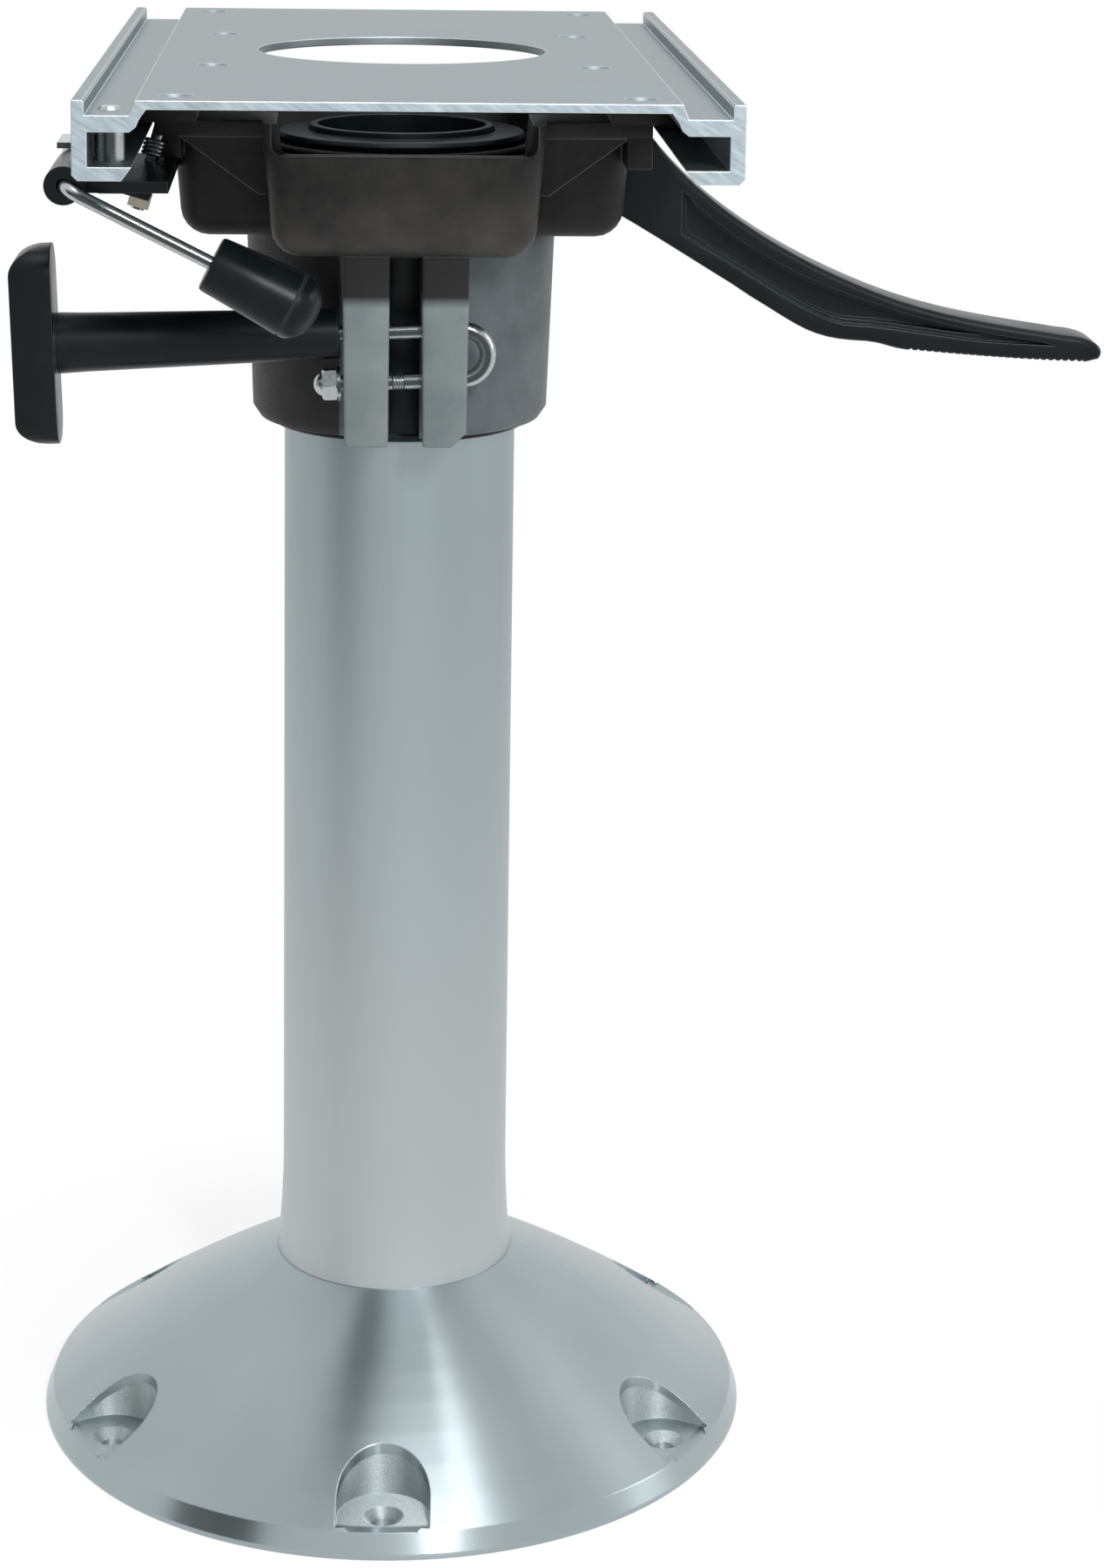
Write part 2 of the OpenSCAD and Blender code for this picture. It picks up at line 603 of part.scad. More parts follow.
// slant of the lock bolt, about its place under the wing
module lean() {
    translate([-bolt_x, 0, wing_z0]) rotate([0, lock_lean, 0]) translate([bolt_x, 0, -wing_z0]) children();
}
arm_z1 = barrel_z + 0.6;
arm_t = 3.4;
lock_bolt_y = -wing_half_l + 5;
barrel_front = rod_front - 3.6;
barrel_l = 40;
cam_y0 = -barrel_front + barrel_l + 1;
cam_l = 24;
cam_e = 1.2;         // throw of the cam
cam_lead = 20;       // angle of the throw ahead of upright
cam_r = 4.4;
rear_l = 34;
module lock_housing() {
    arm_front = barrel_front - 6;
    rear_y = cam_y0 + cam_l + 0.4;
    color("#1b1e21") difference() {
        union() {
            rod_y(-barrel_x, barrel_z, -barrel_front, -barrel_front + barrel_l, barrel_d / 2);
            translate([-barrel_x, -arm_front, arm_z1 - arm_t])
                cube([barrel_x - bolt_x + 4, arm_front + lock_bolt_y + 6, arm_t]);
            // rear bearing behind the cam
            rod_y(-barrel_x, barrel_z, rear_y, rear_y + rear_l, barrel_d / 2);
            translate([-barrel_x, lock_bolt_y, arm_z1 - arm_t])
                cube([barrel_x - bolt_x + 4, rear_y + 8 - lock_bolt_y, arm_t]);
            // lug beside the tub, with the nut under its slanting foot
            along_y(-wing_half_l - 9, lock_bolt_y + 5) translate([-flange_half_w, barrel_z]) polygon([
                [-16, 0.6], [3.3, 0.6], [3.3, -0.4], [-1.3, -9.6], [-8.9, -7.4], [-16, -7.4]]);
        }
        rod_y(-barrel_x, barrel_z, -barrel_front - eps, rear_y + rear_l + eps, rod_d / 2 + run_gap);
        // window for the cam
        translate([-barrel_x - 8, cam_y0 - 0.4, barrel_z - 8]) cube([15.4, cam_l + 0.8, 16]);
        lean() translate([-bolt_x, lock_bolt_y, nut_top - 3]) cylinder(r = 2.2, h = 20);
    }
}

// Lever rod: one leg lies in the barrel, the other slopes down to the grip
module lock_rod() {
    rear = cam_y0 + cam_l + 6;
    color("gainsboro") {
        rod_y(-barrel_x, barrel_z, -rod_front, rear, rod_d / 2);
        translate([-barrel_x, -rod_front, barrel_z]) sphere(d = rod_d);
        translate([-barrel_x, -rod_front, barrel_z]) rotate([0, 90 + rod_slope, 0])
            cylinder(d = rod_d, h = rod_l + 18);
    }
}

module lock_grip() {
    dome_r = grip_large_d / 2;
    body = grip_l - dome_r * 0.72;
    color("black") translate([-barrel_x, -rod_front, barrel_z]) rotate([0, 90 + rod_slope, 0])
        translate([0, 0, rod_l]) difference() {
            union() {
                cylinder(d1 = grip_small_d, d2 = grip_large_d, h = body);
                intersection() {
                    translate([0, 0, body - dome_r * 0.28]) sphere(r = dome_r * 1.04);
                    translate([0, 0, body - 0.01]) cylinder(r = 2 * dome_r, h = 2 * dome_r);
                }
            }
            translate([0, 0, -eps]) cylinder(r = rod_d / 2 + 0.02, h = 18.2 + eps);
        }
}

// Cam on the rear of the rod, under the brake shoe
module lock_cam() {
    color("silver") difference() {
        rod_y(-barrel_x - cam_e * sin(cam_lead), barrel_z + cam_e * cos(cam_lead), cam_y0,
            cam_y0 + cam_l, cam_r);
        rod_y(-barrel_x, barrel_z, cam_y0 - eps, cam_y0 + cam_l + eps, rod_d / 2 + 0.02);
    }
}

// Brake shoe: a steel plate that the cam lifts against the rail
module brake_shoe() {
    z0 = barrel_z + cam_e * cos(cam_lead) + cam_r + 0.1;
    color("silver") {
        translate([-barrel_x - 5, cam_y0 + 1, z0]) cube([20, cam_l - 2, rail_z - 0.2 - z0]);
    }
}

head_z = wing_z0 + 5.95;
head_t = 1.2;
module lock_bolt() {
    color("silver") lean() translate([-bolt_x, lock_bolt_y, 0]) {
        translate([0, 0, nut_top - nut_h - 0.8]) cylinder(r = 2, h = head_z - nut_top + nut_h + 1.2);
        translate([0, 0, head_z]) cylinder(r = 3.2, h = head_t);
    }
}
module lock_nut() {
    color("tan") lean() difference() {
        translate([-bolt_x - nut_w / 2, lock_bolt_y - nut_w / 2, nut_top - nut_h]) cube([nut_w, nut_w, nut_h]);
        translate([-bolt_x, lock_bolt_y, nut_top - nut_h - eps]) cylinder(r = 2 + run_gap, h = nut_h + 2 * eps);
    }
}
coil_r = 3.1;
coil_wire_r = 0.6;
module lock_spring() {
    z0 = arm_z1 + 1.1;
    z1 = flange_z - 2;
    turns = 4;
    color("dimgray") lean() for (i = [0:turns - 1])
        translate([-bolt_x, lock_bolt_y, z0 + i * (z1 - z0) / (turns - 1)])
            rotate_extrude() translate([coil_r, 0]) circle(r = coil_wire_r, $fn = 16);
}

// Swivel lever: a curved moulding of I section with a round boss at its pivot, drawn from the pivot
lever_root = 5.1;
lever_up = concat([[7.5, 0.8]],
    curve_points([7.5, 0.8], [21.4, -17.2], [46.4, -34.2], [78.4, -46.2], 9),
    curve_points([78.4, -46.2], [100.4, -54.7], [124.4, -56.2], [139.4, -58.2], 6),
    curve_points([139.4, -58.2], [147.4, -59.2], [152.9, -63.2], [149.9, -67.7], 6));
lever_low = concat([[146.4, -69]],
    curve_points([146.4, -69], [118.4, -68.4], [93.4, -63.7], [71.4, -62.4], 6),
    curve_points([71.4, -62.4], [59.4, -61.7], [53.4, -56.7], [38.4, -47.9], 5),
    curve_points([38.4, -47.9], [28.4, -42.2], [8.4, -29.2], [-5.1, -21.7], 4));
module lever_outline() {
    translate([pivot_x, pivot_z])
        polygon(concat([[-lever_root, -4], [0, 0]], lever_up, lever_low));
}
// recess between the borders; its lower line steps up behind the finger rest
lever_web = concat([[16.4, -14.7]],
    curve_points([16.4, -14.7], [32.4, -31.2], [52.4, -42.2], [78.4, -50.4], 7),
    curve_points([78.4, -50.4], [93.4, -55.6], [114.4, -58.2], [132.4, -60.8], 4),
    [[136.4, -63.6]],
    curve_points([136.4, -63.6], [108.4, -62.2], [86.4, -57.7], [68.4, -57], 5),
    curve_points([68.4, -57], [56.4, -54.4], [44.4, -44.8], [16.4, -28.7], 5));
grip_teeth = 18;
tooth_pitch = 2.3;
module swivel_lever() {
    half = lever_w / 2;
    color("#15181b") difference() {
        union() {
            along_y(-half, half) lever_outline();
            rod_y(pivot_x, pivot_z, -half, half, 5);
        }
        for (y = [[-half - eps, -half + lever_recess], [half - lever_recess, half + eps]])
            along_y(y[0], y[1]) translate([pivot_x, pivot_z]) polygon(lever_web);
        // fine teeth under the finger rest
        for (i = [0:grip_teeth - 1]) {
            t = (i + 1) / (grip_teeth + 2);
            rod_y(pivot_x + 146 - i * tooth_pitch, pivot_z + curve(-69, -68.8, -67.2, -65.2, t) - 0.55,
                -half - eps, half + eps, 0.9);
        }
        rod_y(pivot_x, pivot_z, -half - eps, half + eps, pivot_d / 2 + run_gap);
        // slot for the end of the plunger, with the bore of its link pin
        translate([pivot_x - 11.6, -plunger_d / 2 - 0.5, plunger_z - 5]) cube([15, plunger_d + 1, 10]);
        rod_y(link_x, plunger_z, -half - eps, half + eps, link_d / 2 + 0.02);
    }
}

link_x = pivot_x - 0.6;
link_d = 2.6;
module lever_pivot() {
    color("silver") {
        rod_y(pivot_x, pivot_z, -wing_half_l - 0.8, lever_w / 2 + 10.8, pivot_d / 2);
    }
}

// Lock plunger: a pin through hub and wall into a lock hole of the column
plunger_tip = column_r - 1.6;
module lock_plunger() {
    color("silver") difference() {
        rod_x(0, plunger_z, plunger_tip, link_x + 3, plunger_d / 2);
        rod_y(link_x, plunger_z, -plunger_d, plunger_d, link_d / 2 + 0.35);
    }
}
clip_x = hub_r + 3;
module plunger_clip() {
    color("silver") difference() {
        rod_x(0, plunger_z, clip_x, clip_x + 1, 4.6);
        rod_x(0, plunger_z, clip_x - eps, clip_x + 1 + eps, plunger_d / 2 + 0.02);
    }
}
module plunger_spring() {
    x0 = clip_x + 1.9;
    x1 = tub_half_w - 8.9;
    turns = 6;
    color("dimgray") for (i = [0:turns - 1])
        translate([x0 + i * (x1 - x0) / (turns - 1), 0, plunger_z]) rotate([0, 90, 0])
            rotate_extrude() translate([3.6, 0]) circle(r = 0.7, $fn = 16);
}
module link_pin() {
    color("silver") rod_y(link_x, plunger_z, -lever_w / 2 + 0.5, lever_w / 2 - 0.5, link_d / 2);
}

base();
column();
collar_bushing();
swivel_ring();
swivel_bracket();
clamp_bolt();
clamp_washer();
dome_nut();
tee_handle();
tee_insert();
slide_plate();
glide_front_left();
glide_rear_left();
glide_front_right();
glide_rear_right();
lock_housing();
lock_rod();
lock_grip();
lock_cam();
brake_shoe();
lock_bolt();
lock_nut();
lock_spring();
swivel_lever();
lever_pivot();
lock_plunger();
plunger_clip();
plunger_spring();
link_pin();
stop_pin();
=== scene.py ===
"""Looks of a boat seat pedestal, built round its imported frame.

The frame gives the places and the bodies; each class below dresses one sub-assembly and adds
the pieces that the frame leaves plain.
"""

import json
import logging
import math
from dataclasses import dataclass, field
from enum import Enum
from typing import Callable, Iterable, Sequence

import bmesh
import bpy
from mathutils import Matrix, Vector

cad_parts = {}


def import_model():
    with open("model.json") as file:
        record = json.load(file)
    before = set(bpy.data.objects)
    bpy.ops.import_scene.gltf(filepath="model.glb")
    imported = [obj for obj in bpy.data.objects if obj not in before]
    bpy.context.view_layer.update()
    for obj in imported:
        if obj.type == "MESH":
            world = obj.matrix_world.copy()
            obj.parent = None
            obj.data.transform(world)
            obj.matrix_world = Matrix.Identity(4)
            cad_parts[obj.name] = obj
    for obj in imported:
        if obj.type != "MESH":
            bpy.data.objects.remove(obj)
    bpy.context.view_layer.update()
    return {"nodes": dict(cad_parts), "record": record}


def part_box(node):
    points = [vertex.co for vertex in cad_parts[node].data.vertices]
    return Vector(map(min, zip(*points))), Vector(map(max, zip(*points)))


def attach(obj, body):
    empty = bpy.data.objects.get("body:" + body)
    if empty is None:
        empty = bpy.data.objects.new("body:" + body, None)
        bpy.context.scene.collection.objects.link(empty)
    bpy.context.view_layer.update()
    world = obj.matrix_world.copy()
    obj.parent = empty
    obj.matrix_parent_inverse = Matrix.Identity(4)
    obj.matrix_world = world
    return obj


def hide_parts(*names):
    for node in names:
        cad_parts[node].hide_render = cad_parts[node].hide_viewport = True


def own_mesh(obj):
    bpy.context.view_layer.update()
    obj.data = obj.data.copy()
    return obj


LOG = logging.getLogger("pedestal")
MM = 0.001


class Axis(Enum):
    """Row axes as unit vectors."""

    X = (1.0, 0.0, 0.0)
    Y = (0.0, 1.0, 0.0)
    Z = (0.0, 0.0, 1.0)


def linear(code: str) -> tuple[float, float, float, float]:
    """Turns an sRGB hex colour into linear RGBA.

    Args:
        code: the colour as "#rrggbb".

    Returns:
        Linear red, green, blue and an alpha of 1.
    """
    parts = [int(code[i : i + 2], 16) / 255 for i in (1, 3, 5)]
    flat = [v / 12.92 if v <= 0.04045 else ((v + 0.055) / 1.055) ** 2.4 for v in parts]
    return (flat[0], flat[1], flat[2], 1.0)


def add_node(tree: bpy.types.NodeTree, kind: str, inputs: dict | None = None, **values) -> bpy.types.Node:
    """Adds a shader node, sets its properties and fills or links its inputs.

    Args:
        tree: the node tree that receives the node.
        kind: the node's type name without the ShaderNode prefix.
        inputs: input name or index to a value or to an output socket.
        **values: properties of the node.

    Returns:
        The new node.
    """
    node = tree.nodes.new("ShaderNode" + kind)
    for name, value in values.items():
        setattr(node, name, value)
    for key, value in (inputs or {}).items():
        if isinstance(value, bpy.types.NodeSocket):
            tree.links.new(value, node.inputs[key])
        else:
            node.inputs[key].default_value = value
    return node


class Pattern:
    """Procedural fields read on object coordinates, sized in millimetres."""

    def __init__(self, tree: bpy.types.NodeTree) -> None:
        """Starts from the object coordinates.

        Args:
            tree: the material's node tree.
        """
        self.tree = tree
        self.coords = add_node(tree, "TexCoord").outputs["Object"]

    def stretched(self, scale: Sequence[float], turn: Sequence[float] = (0, 0, 0)) -> bpy.types.NodeSocket:
        """Scales the coordinates, for brushed or drawn grain.

        Args:
            scale: factor for each axis.
            turn: rotation in radians about each axis, made before the scaling.

        Returns:
            The mapped vector.
        """
        turned = add_node(self.tree, "Mapping", {"Vector": self.coords, "Rotation": turn})
        return add_node(self.tree, "Mapping", {"Vector": turned.outputs[0], "Scale": scale}).outputs[0]

    def height(self, low_mm: float, high_mm: float) -> bpy.types.NodeSocket:
        """Rises from 0 to 1 between two heights.

        Args:
            low_mm: height that gives 0.
            high_mm: height that gives 1.

        Returns:
            The factor socket.
        """
        parts = add_node(self.tree, "SeparateXYZ", {"Vector": self.coords})
        return self.ramp(parts.outputs[2], low_mm * MM, high_mm * MM)

    def rings(self) -> bpy.types.NodeSocket:
        """Coordinates that only change with the distance from the column's axis and with height.

        Returns:
            The vector socket.
        """
        parts = add_node(self.tree, "SeparateXYZ", {"Vector": self.coords})
        flat = add_node(self.tree, "CombineXYZ", {0: parts.outputs[0], 1: parts.outputs[1]})
        radius = add_node(self.tree, "VectorMath", {0: flat.outputs[0]}, operation="LENGTH")
        return add_node(self.tree, "CombineXYZ", {0: radius.outputs["Value"], 1: parts.outputs[2]}).outputs[0]

    def noise(self, size_mm: float, detail: float = 3.0, rough: float = 0.55, vector=None) -> bpy.types.NodeSocket:
        """A noise whose features are about size_mm across.

        Args:
            size_mm: size of the features.
            detail: octaves.
            rough: weight of the finer octaves.
            vector: coordinates other than the plain ones.

        Returns:
            The factor socket, about 0.3 to 0.7.
        """
        node = add_node(
            self.tree,
            "TexNoise",
            {"Vector": vector or self.coords, "Scale": 1 / (size_mm * MM), "Detail": detail, "Roughness": rough},
        )
        return node.outputs[0]

    def ramp(self, factor, low: float, high: float, out_low: float = 0.0, out_high: float = 1.0):
        """Maps a factor from one range to another, clamped.

        Args:
            factor: the input socket.
            low: input value that gives out_low.
            high: input value that gives out_high.
            out_low: lowest output.
            out_high: highest output.

        Returns:
            The mapped socket.
        """
        return add_node(
            self.tree,
            "MapRange",
            {0: factor, 1: low, 2: high, 3: out_low, 4: out_high},
        ).outputs[0]

    def mix(self, factor, dark: str, light: str) -> bpy.types.NodeSocket:
        """Blends two sRGB colours.

        Args:
            factor: 0 gives dark, 1 gives light.
            dark: first colour.
            light: second colour.

        Returns:
            The colour socket.
        """
        node = add_node(self.tree, "Mix", data_type="RGBA")
        self.tree.links.new(factor, node.inputs[0])
        node.inputs[6].default_value = linear(dark)
        node.inputs[7].default_value = linear(light)
        return node.outputs[2]

    def soft_edges(self, radius_mm: float) -> bpy.types.NodeSocket:
        """Normal that rounds every edge, as casting, moulding and sawing leave them.

        Args:
            radius_mm: radius of the rounding.

        Returns:
            The normal socket.
        """
        return add_node(self.tree, "Bevel", {"Radius": radius_mm * MM}, samples=6).outputs[0]

    def brightened(self, normal, spread: float = 0.06) -> bpy.types.NodeSocket:
        """Mask of the edges, where a highlight is painted along them and handling has rubbed the surface bright.

        Args:
            normal: the rounded normal.
            spread: how quickly the mask reaches 1.

        Returns:
            The factor socket.
        """
        plain = add_node(self.tree, "NewGeometry").outputs["Normal"]
        dot = add_node(self.tree, "VectorMath", {0: plain, 1: normal}, operation="DOT_PRODUCT").outputs["Value"]
        return self.ramp(dot, 0.995, 0.995 - spread)

    def between(self, factor, first, second) -> bpy.types.NodeSocket:
        """Blends two colour sockets.

        Args:
            factor: 0 gives first, 1 gives second.
            first: colour socket or linear colour.
            second: colour socket or linear colour.

        Returns:
            The colour socket.
        """
        return add_node(self.tree, "Mix", {0: factor, 6: first, 7: second}, data_type="RGBA").outputs[2]

    def bump(self, height, depth_mm: float, strength: float = 1.0, normal=None) -> bpy.types.NodeSocket:
        """Turns a height field into a normal.

        Args:
            height: field between 0 and 1.
            depth_mm: height of 1 in millimetres.
            strength: how much of it shows.
            normal: normal that it starts from, if not the plain one.

        Returns:
            The normal socket.
        """
        inputs = {"Height": height, "Distance": depth_mm * MM, "Strength": strength}
        if normal is not None:
            inputs["Normal"] = normal
        return add_node(self.tree, "Bump", inputs).outputs[0]


@dataclass(frozen=True)
class Finish:
    """One procedural material: its plain values and the function that adds its patterns."""

    name: str
    metallic: float
    roughness: float
    recipe: Callable[[Pattern], dict]
    ior: float = 1.5
    coat: float = 0.0

    def build(self) -> bpy.types.Material:
        """Makes the material.

        Returns:
            The new material.
        """
        material = bpy.data.materials.new(self.name)
        material.use_nodes = True
        tree = material.node_tree
        tree.nodes.clear()
        values: dict = {"Metallic": self.metallic, "Roughness": self.roughness}
        if not self.metallic:
            values["IOR"] = self.ior
            values["Coat Weight"] = self.coat
        values.update(self.recipe(Pattern(tree)))
        shader = add_node(tree, "BsdfPrincipled", values)
        add_node(tree, "OutputMaterial", {"Surface": shader.outputs[0]})
        return material


def polished_casting(p: Pattern) -> dict:
    """Cast aluminium turned to a bright cone whose rings draw the light into radial streaks; raw and satin in the pockets."""
    parts = add_node(p.tree, "SeparateXYZ", {"Vector": p.coords})
    flat = add_node(p.tree, "VectorMath", {0: p.coords, 1: (1, 1, 0)}, operation="MULTIPLY").outputs[0]
    radius = add_node(p.tree, "VectorMath", {0: flat}, operation="LENGTH").outputs["Value"]
    # the cone's line, 1 mm under its surface: deeper than that is unturned casting
    line = add_node(p.tree, "MapRange", {0: radius, 1: 0.0387, 2: 0.1118, 3: 0.0515, 4: 0.0066}).outputs[0]
    depth = add_node(p.tree, "Math", {0: line, 1: parts.outputs[2]}, operation="SUBTRACT").outputs[0]
    cone = p.ramp(depth, 0.0012, 0.0004)
    turned_face = add_node(p.tree, "Math", {0: cone, 1: p.ramp(radius, 0.1116, 0.1119)}, operation="MAXIMUM").outputs[0]
    broad = p.noise(60, 2)
    grain = p.noise(0.7, 4, 0.6)
    rings = p.noise(0.7, 2, vector=p.rings())
    brightened = p.mix(p.ramp(grain, 0.3, 0.7), "#a9b3b5", "#c3cbcc")
    relief = add_node(p.tree, "Mix", {0: turned_face, 2: grain, 3: rings}, data_type="FLOAT").outputs[0]
    rough = add_node(p.tree, "Mix", {0: turned_face, 2: 0.62, 3: 0.28}, data_type="FLOAT").outputs[0]
    return {
        "Base Color": p.between(turned_face, brightened, p.mix(p.ramp(broad, 0.2, 0.8), "#98a4a8", "#a8b2b5")),
        "Roughness": rough,
        "Anisotropic": 0.8,
        "Anisotropic Rotation": 0.25,
        "Tangent": add_node(p.tree, "Tangent", direction_type="RADIAL", axis="Z").outputs[0],
        "Normal": p.bump(relief, 0.015, 0.3, p.soft_edges(0.6)),
    }


def anodised_tube(p: Pattern) -> dict:
    """Satin anodised tube: even blue-grey metal, paler towards its foot, with a very fine drawn grain."""
    grain = p.noise(0.8, 3, vector=p.stretched((1, 1, 0.02)))
    height = p.height(60, 300)
    return {
        "Base Color": p.mix(height, "#b9bfc1", "#98a4a7"),
        "Roughness": p.ramp(grain, 0.2, 0.8, 0.4, 0.47),
        "Normal": p.bump(grain, 0.01, 0.12),
    }


def painted_light_casting(p: Pattern) -> dict:
    """Die casting of the bracket, one grainy metal in painted light and shade: dark brownish tub in painted shade under
    the plate, darker behind the pocket's lit front; lighter blue-grey collar and ears, lit on the right, with painted
    shadow left of the split and on the ears' tops; edges rubbed and given a painted highlight.
    """
    broad = p.noise(16, 4)
    grain = p.noise(0.9, 5, 0.65)
    parts = add_node(p.tree, "SeparateXYZ", {"Vector": p.coords})
    across, along, _ = parts.outputs
    # painted shade: the tub darker, as in the shade under the plate, and darker still behind the pocket's front face;
    # that front face lit
    side = p.mix(p.ramp(broad, 0.25, 0.75), "#1e1e1e", "#363535")
    front = p.mix(p.ramp(broad, 0.25, 0.75), "#323131", "#545250")
    tub = p.between(p.ramp(along, -0.0600, -0.0680), side, front)
    # painted shadow: the collar dark left of the split, lit on its right
    coat = p.mix(p.ramp(broad, 0.25, 0.75), "#1b1919", "#302d2d")
    collar_lit = p.mix(p.ramp(broad, 0.25, 0.75), "#5a6366", "#747d80")
    # the ears part the lit tone from the painted shadow at the front; round the back they blend
    shadow_parting = {0: p.ramp(along, -0.02, -0.03), 2: p.ramp(across, 0.03, -0.04), 3: p.ramp(across, -0.0185, -0.0195)}
    collar = p.between(add_node(p.tree, "Mix", shadow_parting, data_type="FLOAT").outputs[0], collar_lit, coat)
    # painted light and shadow: the ears lighter as lit faces, their upper parts in the painted shadow of the pocket
    # above
    ears = p.mix(p.ramp(broad, 0.25, 0.75), "#7d888a", "#97a1a2")
    shaded = p.between(p.height(375.5, 379), ears, linear("#2d2d2d"))
    lower = p.between(p.ramp(along, -0.0475, -0.0495), collar, shaded)
    # painted shade: above the collar the tub's darker tones take over, as in the shade under the plate
    body = p.between(p.height(388, 394), lower, tub)
    # painted highlight along the rounded edges, which handling also rubs bright
    edge = p.soft_edges(0.9)
    return {
        "Base Color": p.between(p.brightened(edge, 0.3), body, linear("#8b8985")),
        "Roughness": p.ramp(grain, 0.2, 0.8, 0.42, 0.6),
        "Specular IOR Level": 0.2,
        "Normal": p.bump(grain, 0.1, 0.45, edge),
    }


def mill_extrusion(p: Pattern) -> dict:
    """Mill-finish extrusion: faint die lines along Y, slanting saw marks and burrs at its cut ends, and edges lightened
    partly for those burrs and partly as a painted glint.
    """
    lines = p.noise(0.9, 3, vector=p.stretched((1, 0.01, 1)))
    broad = p.noise(50, 3)
    saw = p.noise(1.4, 4, vector=p.stretched((0.16, 1, 1), (0, math.radians(-32), 0)))
    parts = add_node(p.tree, "SeparateXYZ", {"Vector": p.coords})
    reach = add_node(p.tree, "Math", {0: parts.outputs[1]}, operation="ABSOLUTE").outputs[0]
    sawn = p.ramp(reach, 0.15385, 0.15395)
    relief = add_node(p.tree, "Mix", {0: sawn, 2: lines, 3: saw}, data_type="FLOAT").outputs[0]
    # painted glint: every edge lightened, where the burrs catch the light
    edge = p.soft_edges(0.5)
    skin = p.mix(p.ramp(broad, 0.2, 0.8), "#879296", "#929da0")
    cut_end = p.mix(p.ramp(saw, 0.3, 0.7), "#94a2a8", "#bccad0")
    return {
        "Base Color": p.between(p.brightened(edge), p.between(sawn, skin, cut_end), linear("#dfe5e6")),
        "Roughness": p.ramp(broad, 0.2, 0.8, 0.42, 0.5),
        "Normal": p.bump(relief, 0.05, 0.3, edge),
    }


def moulded_plastic(p: Pattern) -> dict:
    """Black glass-filled nylon: near black with a bluish satin sheen, a fine mould grain and a painted highlight along
    its rounded edges.
    """
    grain = p.noise(0.5, 3)
    broad = p.noise(14, 3)
    edge = p.soft_edges(0.7)
    return {
        # painted highlight along the rounded edges of borders, seams and bars
        "Base Color": p.between(p.brightened(edge, 0.3), p.mix(p.ramp(broad, 0.2, 0.8), "#0b1013", "#141c21"), linear("#58666d")),
        "Roughness": p.ramp(broad, 0.2, 0.8, 0.26, 0.38),
        "Specular IOR Level": 0.16,
        "Normal": p.bump(grain, 0.01, 0.15, edge),
    }


def bright_steel(p: Pattern) -> dict:
    """Bright stainless steel of rod, bolt and nut: mirror-like with slight wire-drawing marks, and a painted dark
    reflection on the faces turned to the front.
    """
    marks = p.noise(1.2, 3)
    # painted reflection: faces turned towards -Y darkened
    faced = add_node(p.tree, "TexCoord").outputs["Normal"]
    front = add_node(p.tree, "SeparateXYZ", {"Vector": faced}).outputs[1]
    light = p.mix(p.ramp(marks, 0.2, 0.8), "#a4a9ab", "#c0c4c5")
    return {
        "Base Color": p.between(p.ramp(front, -0.86, -0.96), light, linear("#474b4d")),
        "Roughness": p.ramp(marks, 0.2, 0.8, 0.22, 0.3),
    }


def turned_brass(p: Pattern) -> dict:
    """Dull brass insert and nut: warm grey yellow, slightly tarnished."""
    marks = p.noise(2, 3)
    return {
        "Base Color": p.mix(p.ramp(marks, 0.2, 0.8), "#8d8878", "#aca794"),
        "Roughness": p.ramp(marks, 0.2, 0.8, 0.28, 0.4),
    }


class Slot(Enum):
    """Material slots of the record, each with its finish."""

    CAST_BASE = Finish("cast_base", 1.0, 0.3, polished_casting)
    ANODISED_TUBE = Finish("anodised_tube", 1.0, 0.38, anodised_tube)
    CAST_BRACKET = Finish("cast_bracket", 0.1, 0.5, painted_light_casting)
    MILL_PLATE = Finish("mill_plate", 1.0, 0.36, mill_extrusion)
    BLACK_PLASTIC = Finish("black_plastic", 0.0, 0.36, moulded_plastic, ior=1.53)
    STEEL = Finish("steel", 1.0, 0.2, bright_steel)
    BRASS = Finish("brass", 1.0, 0.32, turned_brass)


class Palette:
    """Builds each finish once and hands it out."""

    def __init__(self) -> None:
        """Starts with no material built."""
        self._made: dict[Slot, bpy.types.Material] = {}

    def get(self, slot: Slot) -> bpy.types.Material:
        """Returns the material of a slot.

        Args:
            slot: the slot.

        Returns:
            The material, built on first use.
        """
        if slot not in self._made:
            self._made[slot] = slot.value.build()
        return self._made[slot]

    def dress(self, obj: bpy.types.Object, slot: Slot) -> None:
        """Gives every slot of an object one material.

        Args:
            obj: the object.
            slot: the slot whose finish it takes.
        """
        material = self.get(slot)
        if not obj.material_slots:
            obj.data.materials.append(material)
        for holder in obj.material_slots:
            holder.material = material
        LOG.info("dressed %s as %s", obj.name, slot.value.name)


def use(obj: bpy.types.Object) -> None:
    """Makes one object the only selected and the active one.

    Args:
        obj: the object.
    """
    bpy.ops.object.select_all(action="DESELECT")
    obj.select_set(True)
    bpy.context.view_layer.objects.active = obj


def curve_points(a, b, c, d, count: int) -> list[tuple[float, float]]:
    """Points of a cubic curve after its start.

    Args:
        a: start.
        b: first control point.
        c: second control point.
        d: end.
        count: number of points.

    Returns:
        The points.
    """
    out = []
    for i in range(1, count + 1):
        t = i / count
        w = ((1 - t) ** 3, 3 * t * (1 - t) ** 2, 3 * t * t * (1 - t), t**3)
        out.append(tuple(sum(k * p[j] for k, p in zip(w, (a, b, c, d))) for j in (0, 1)))
    return out


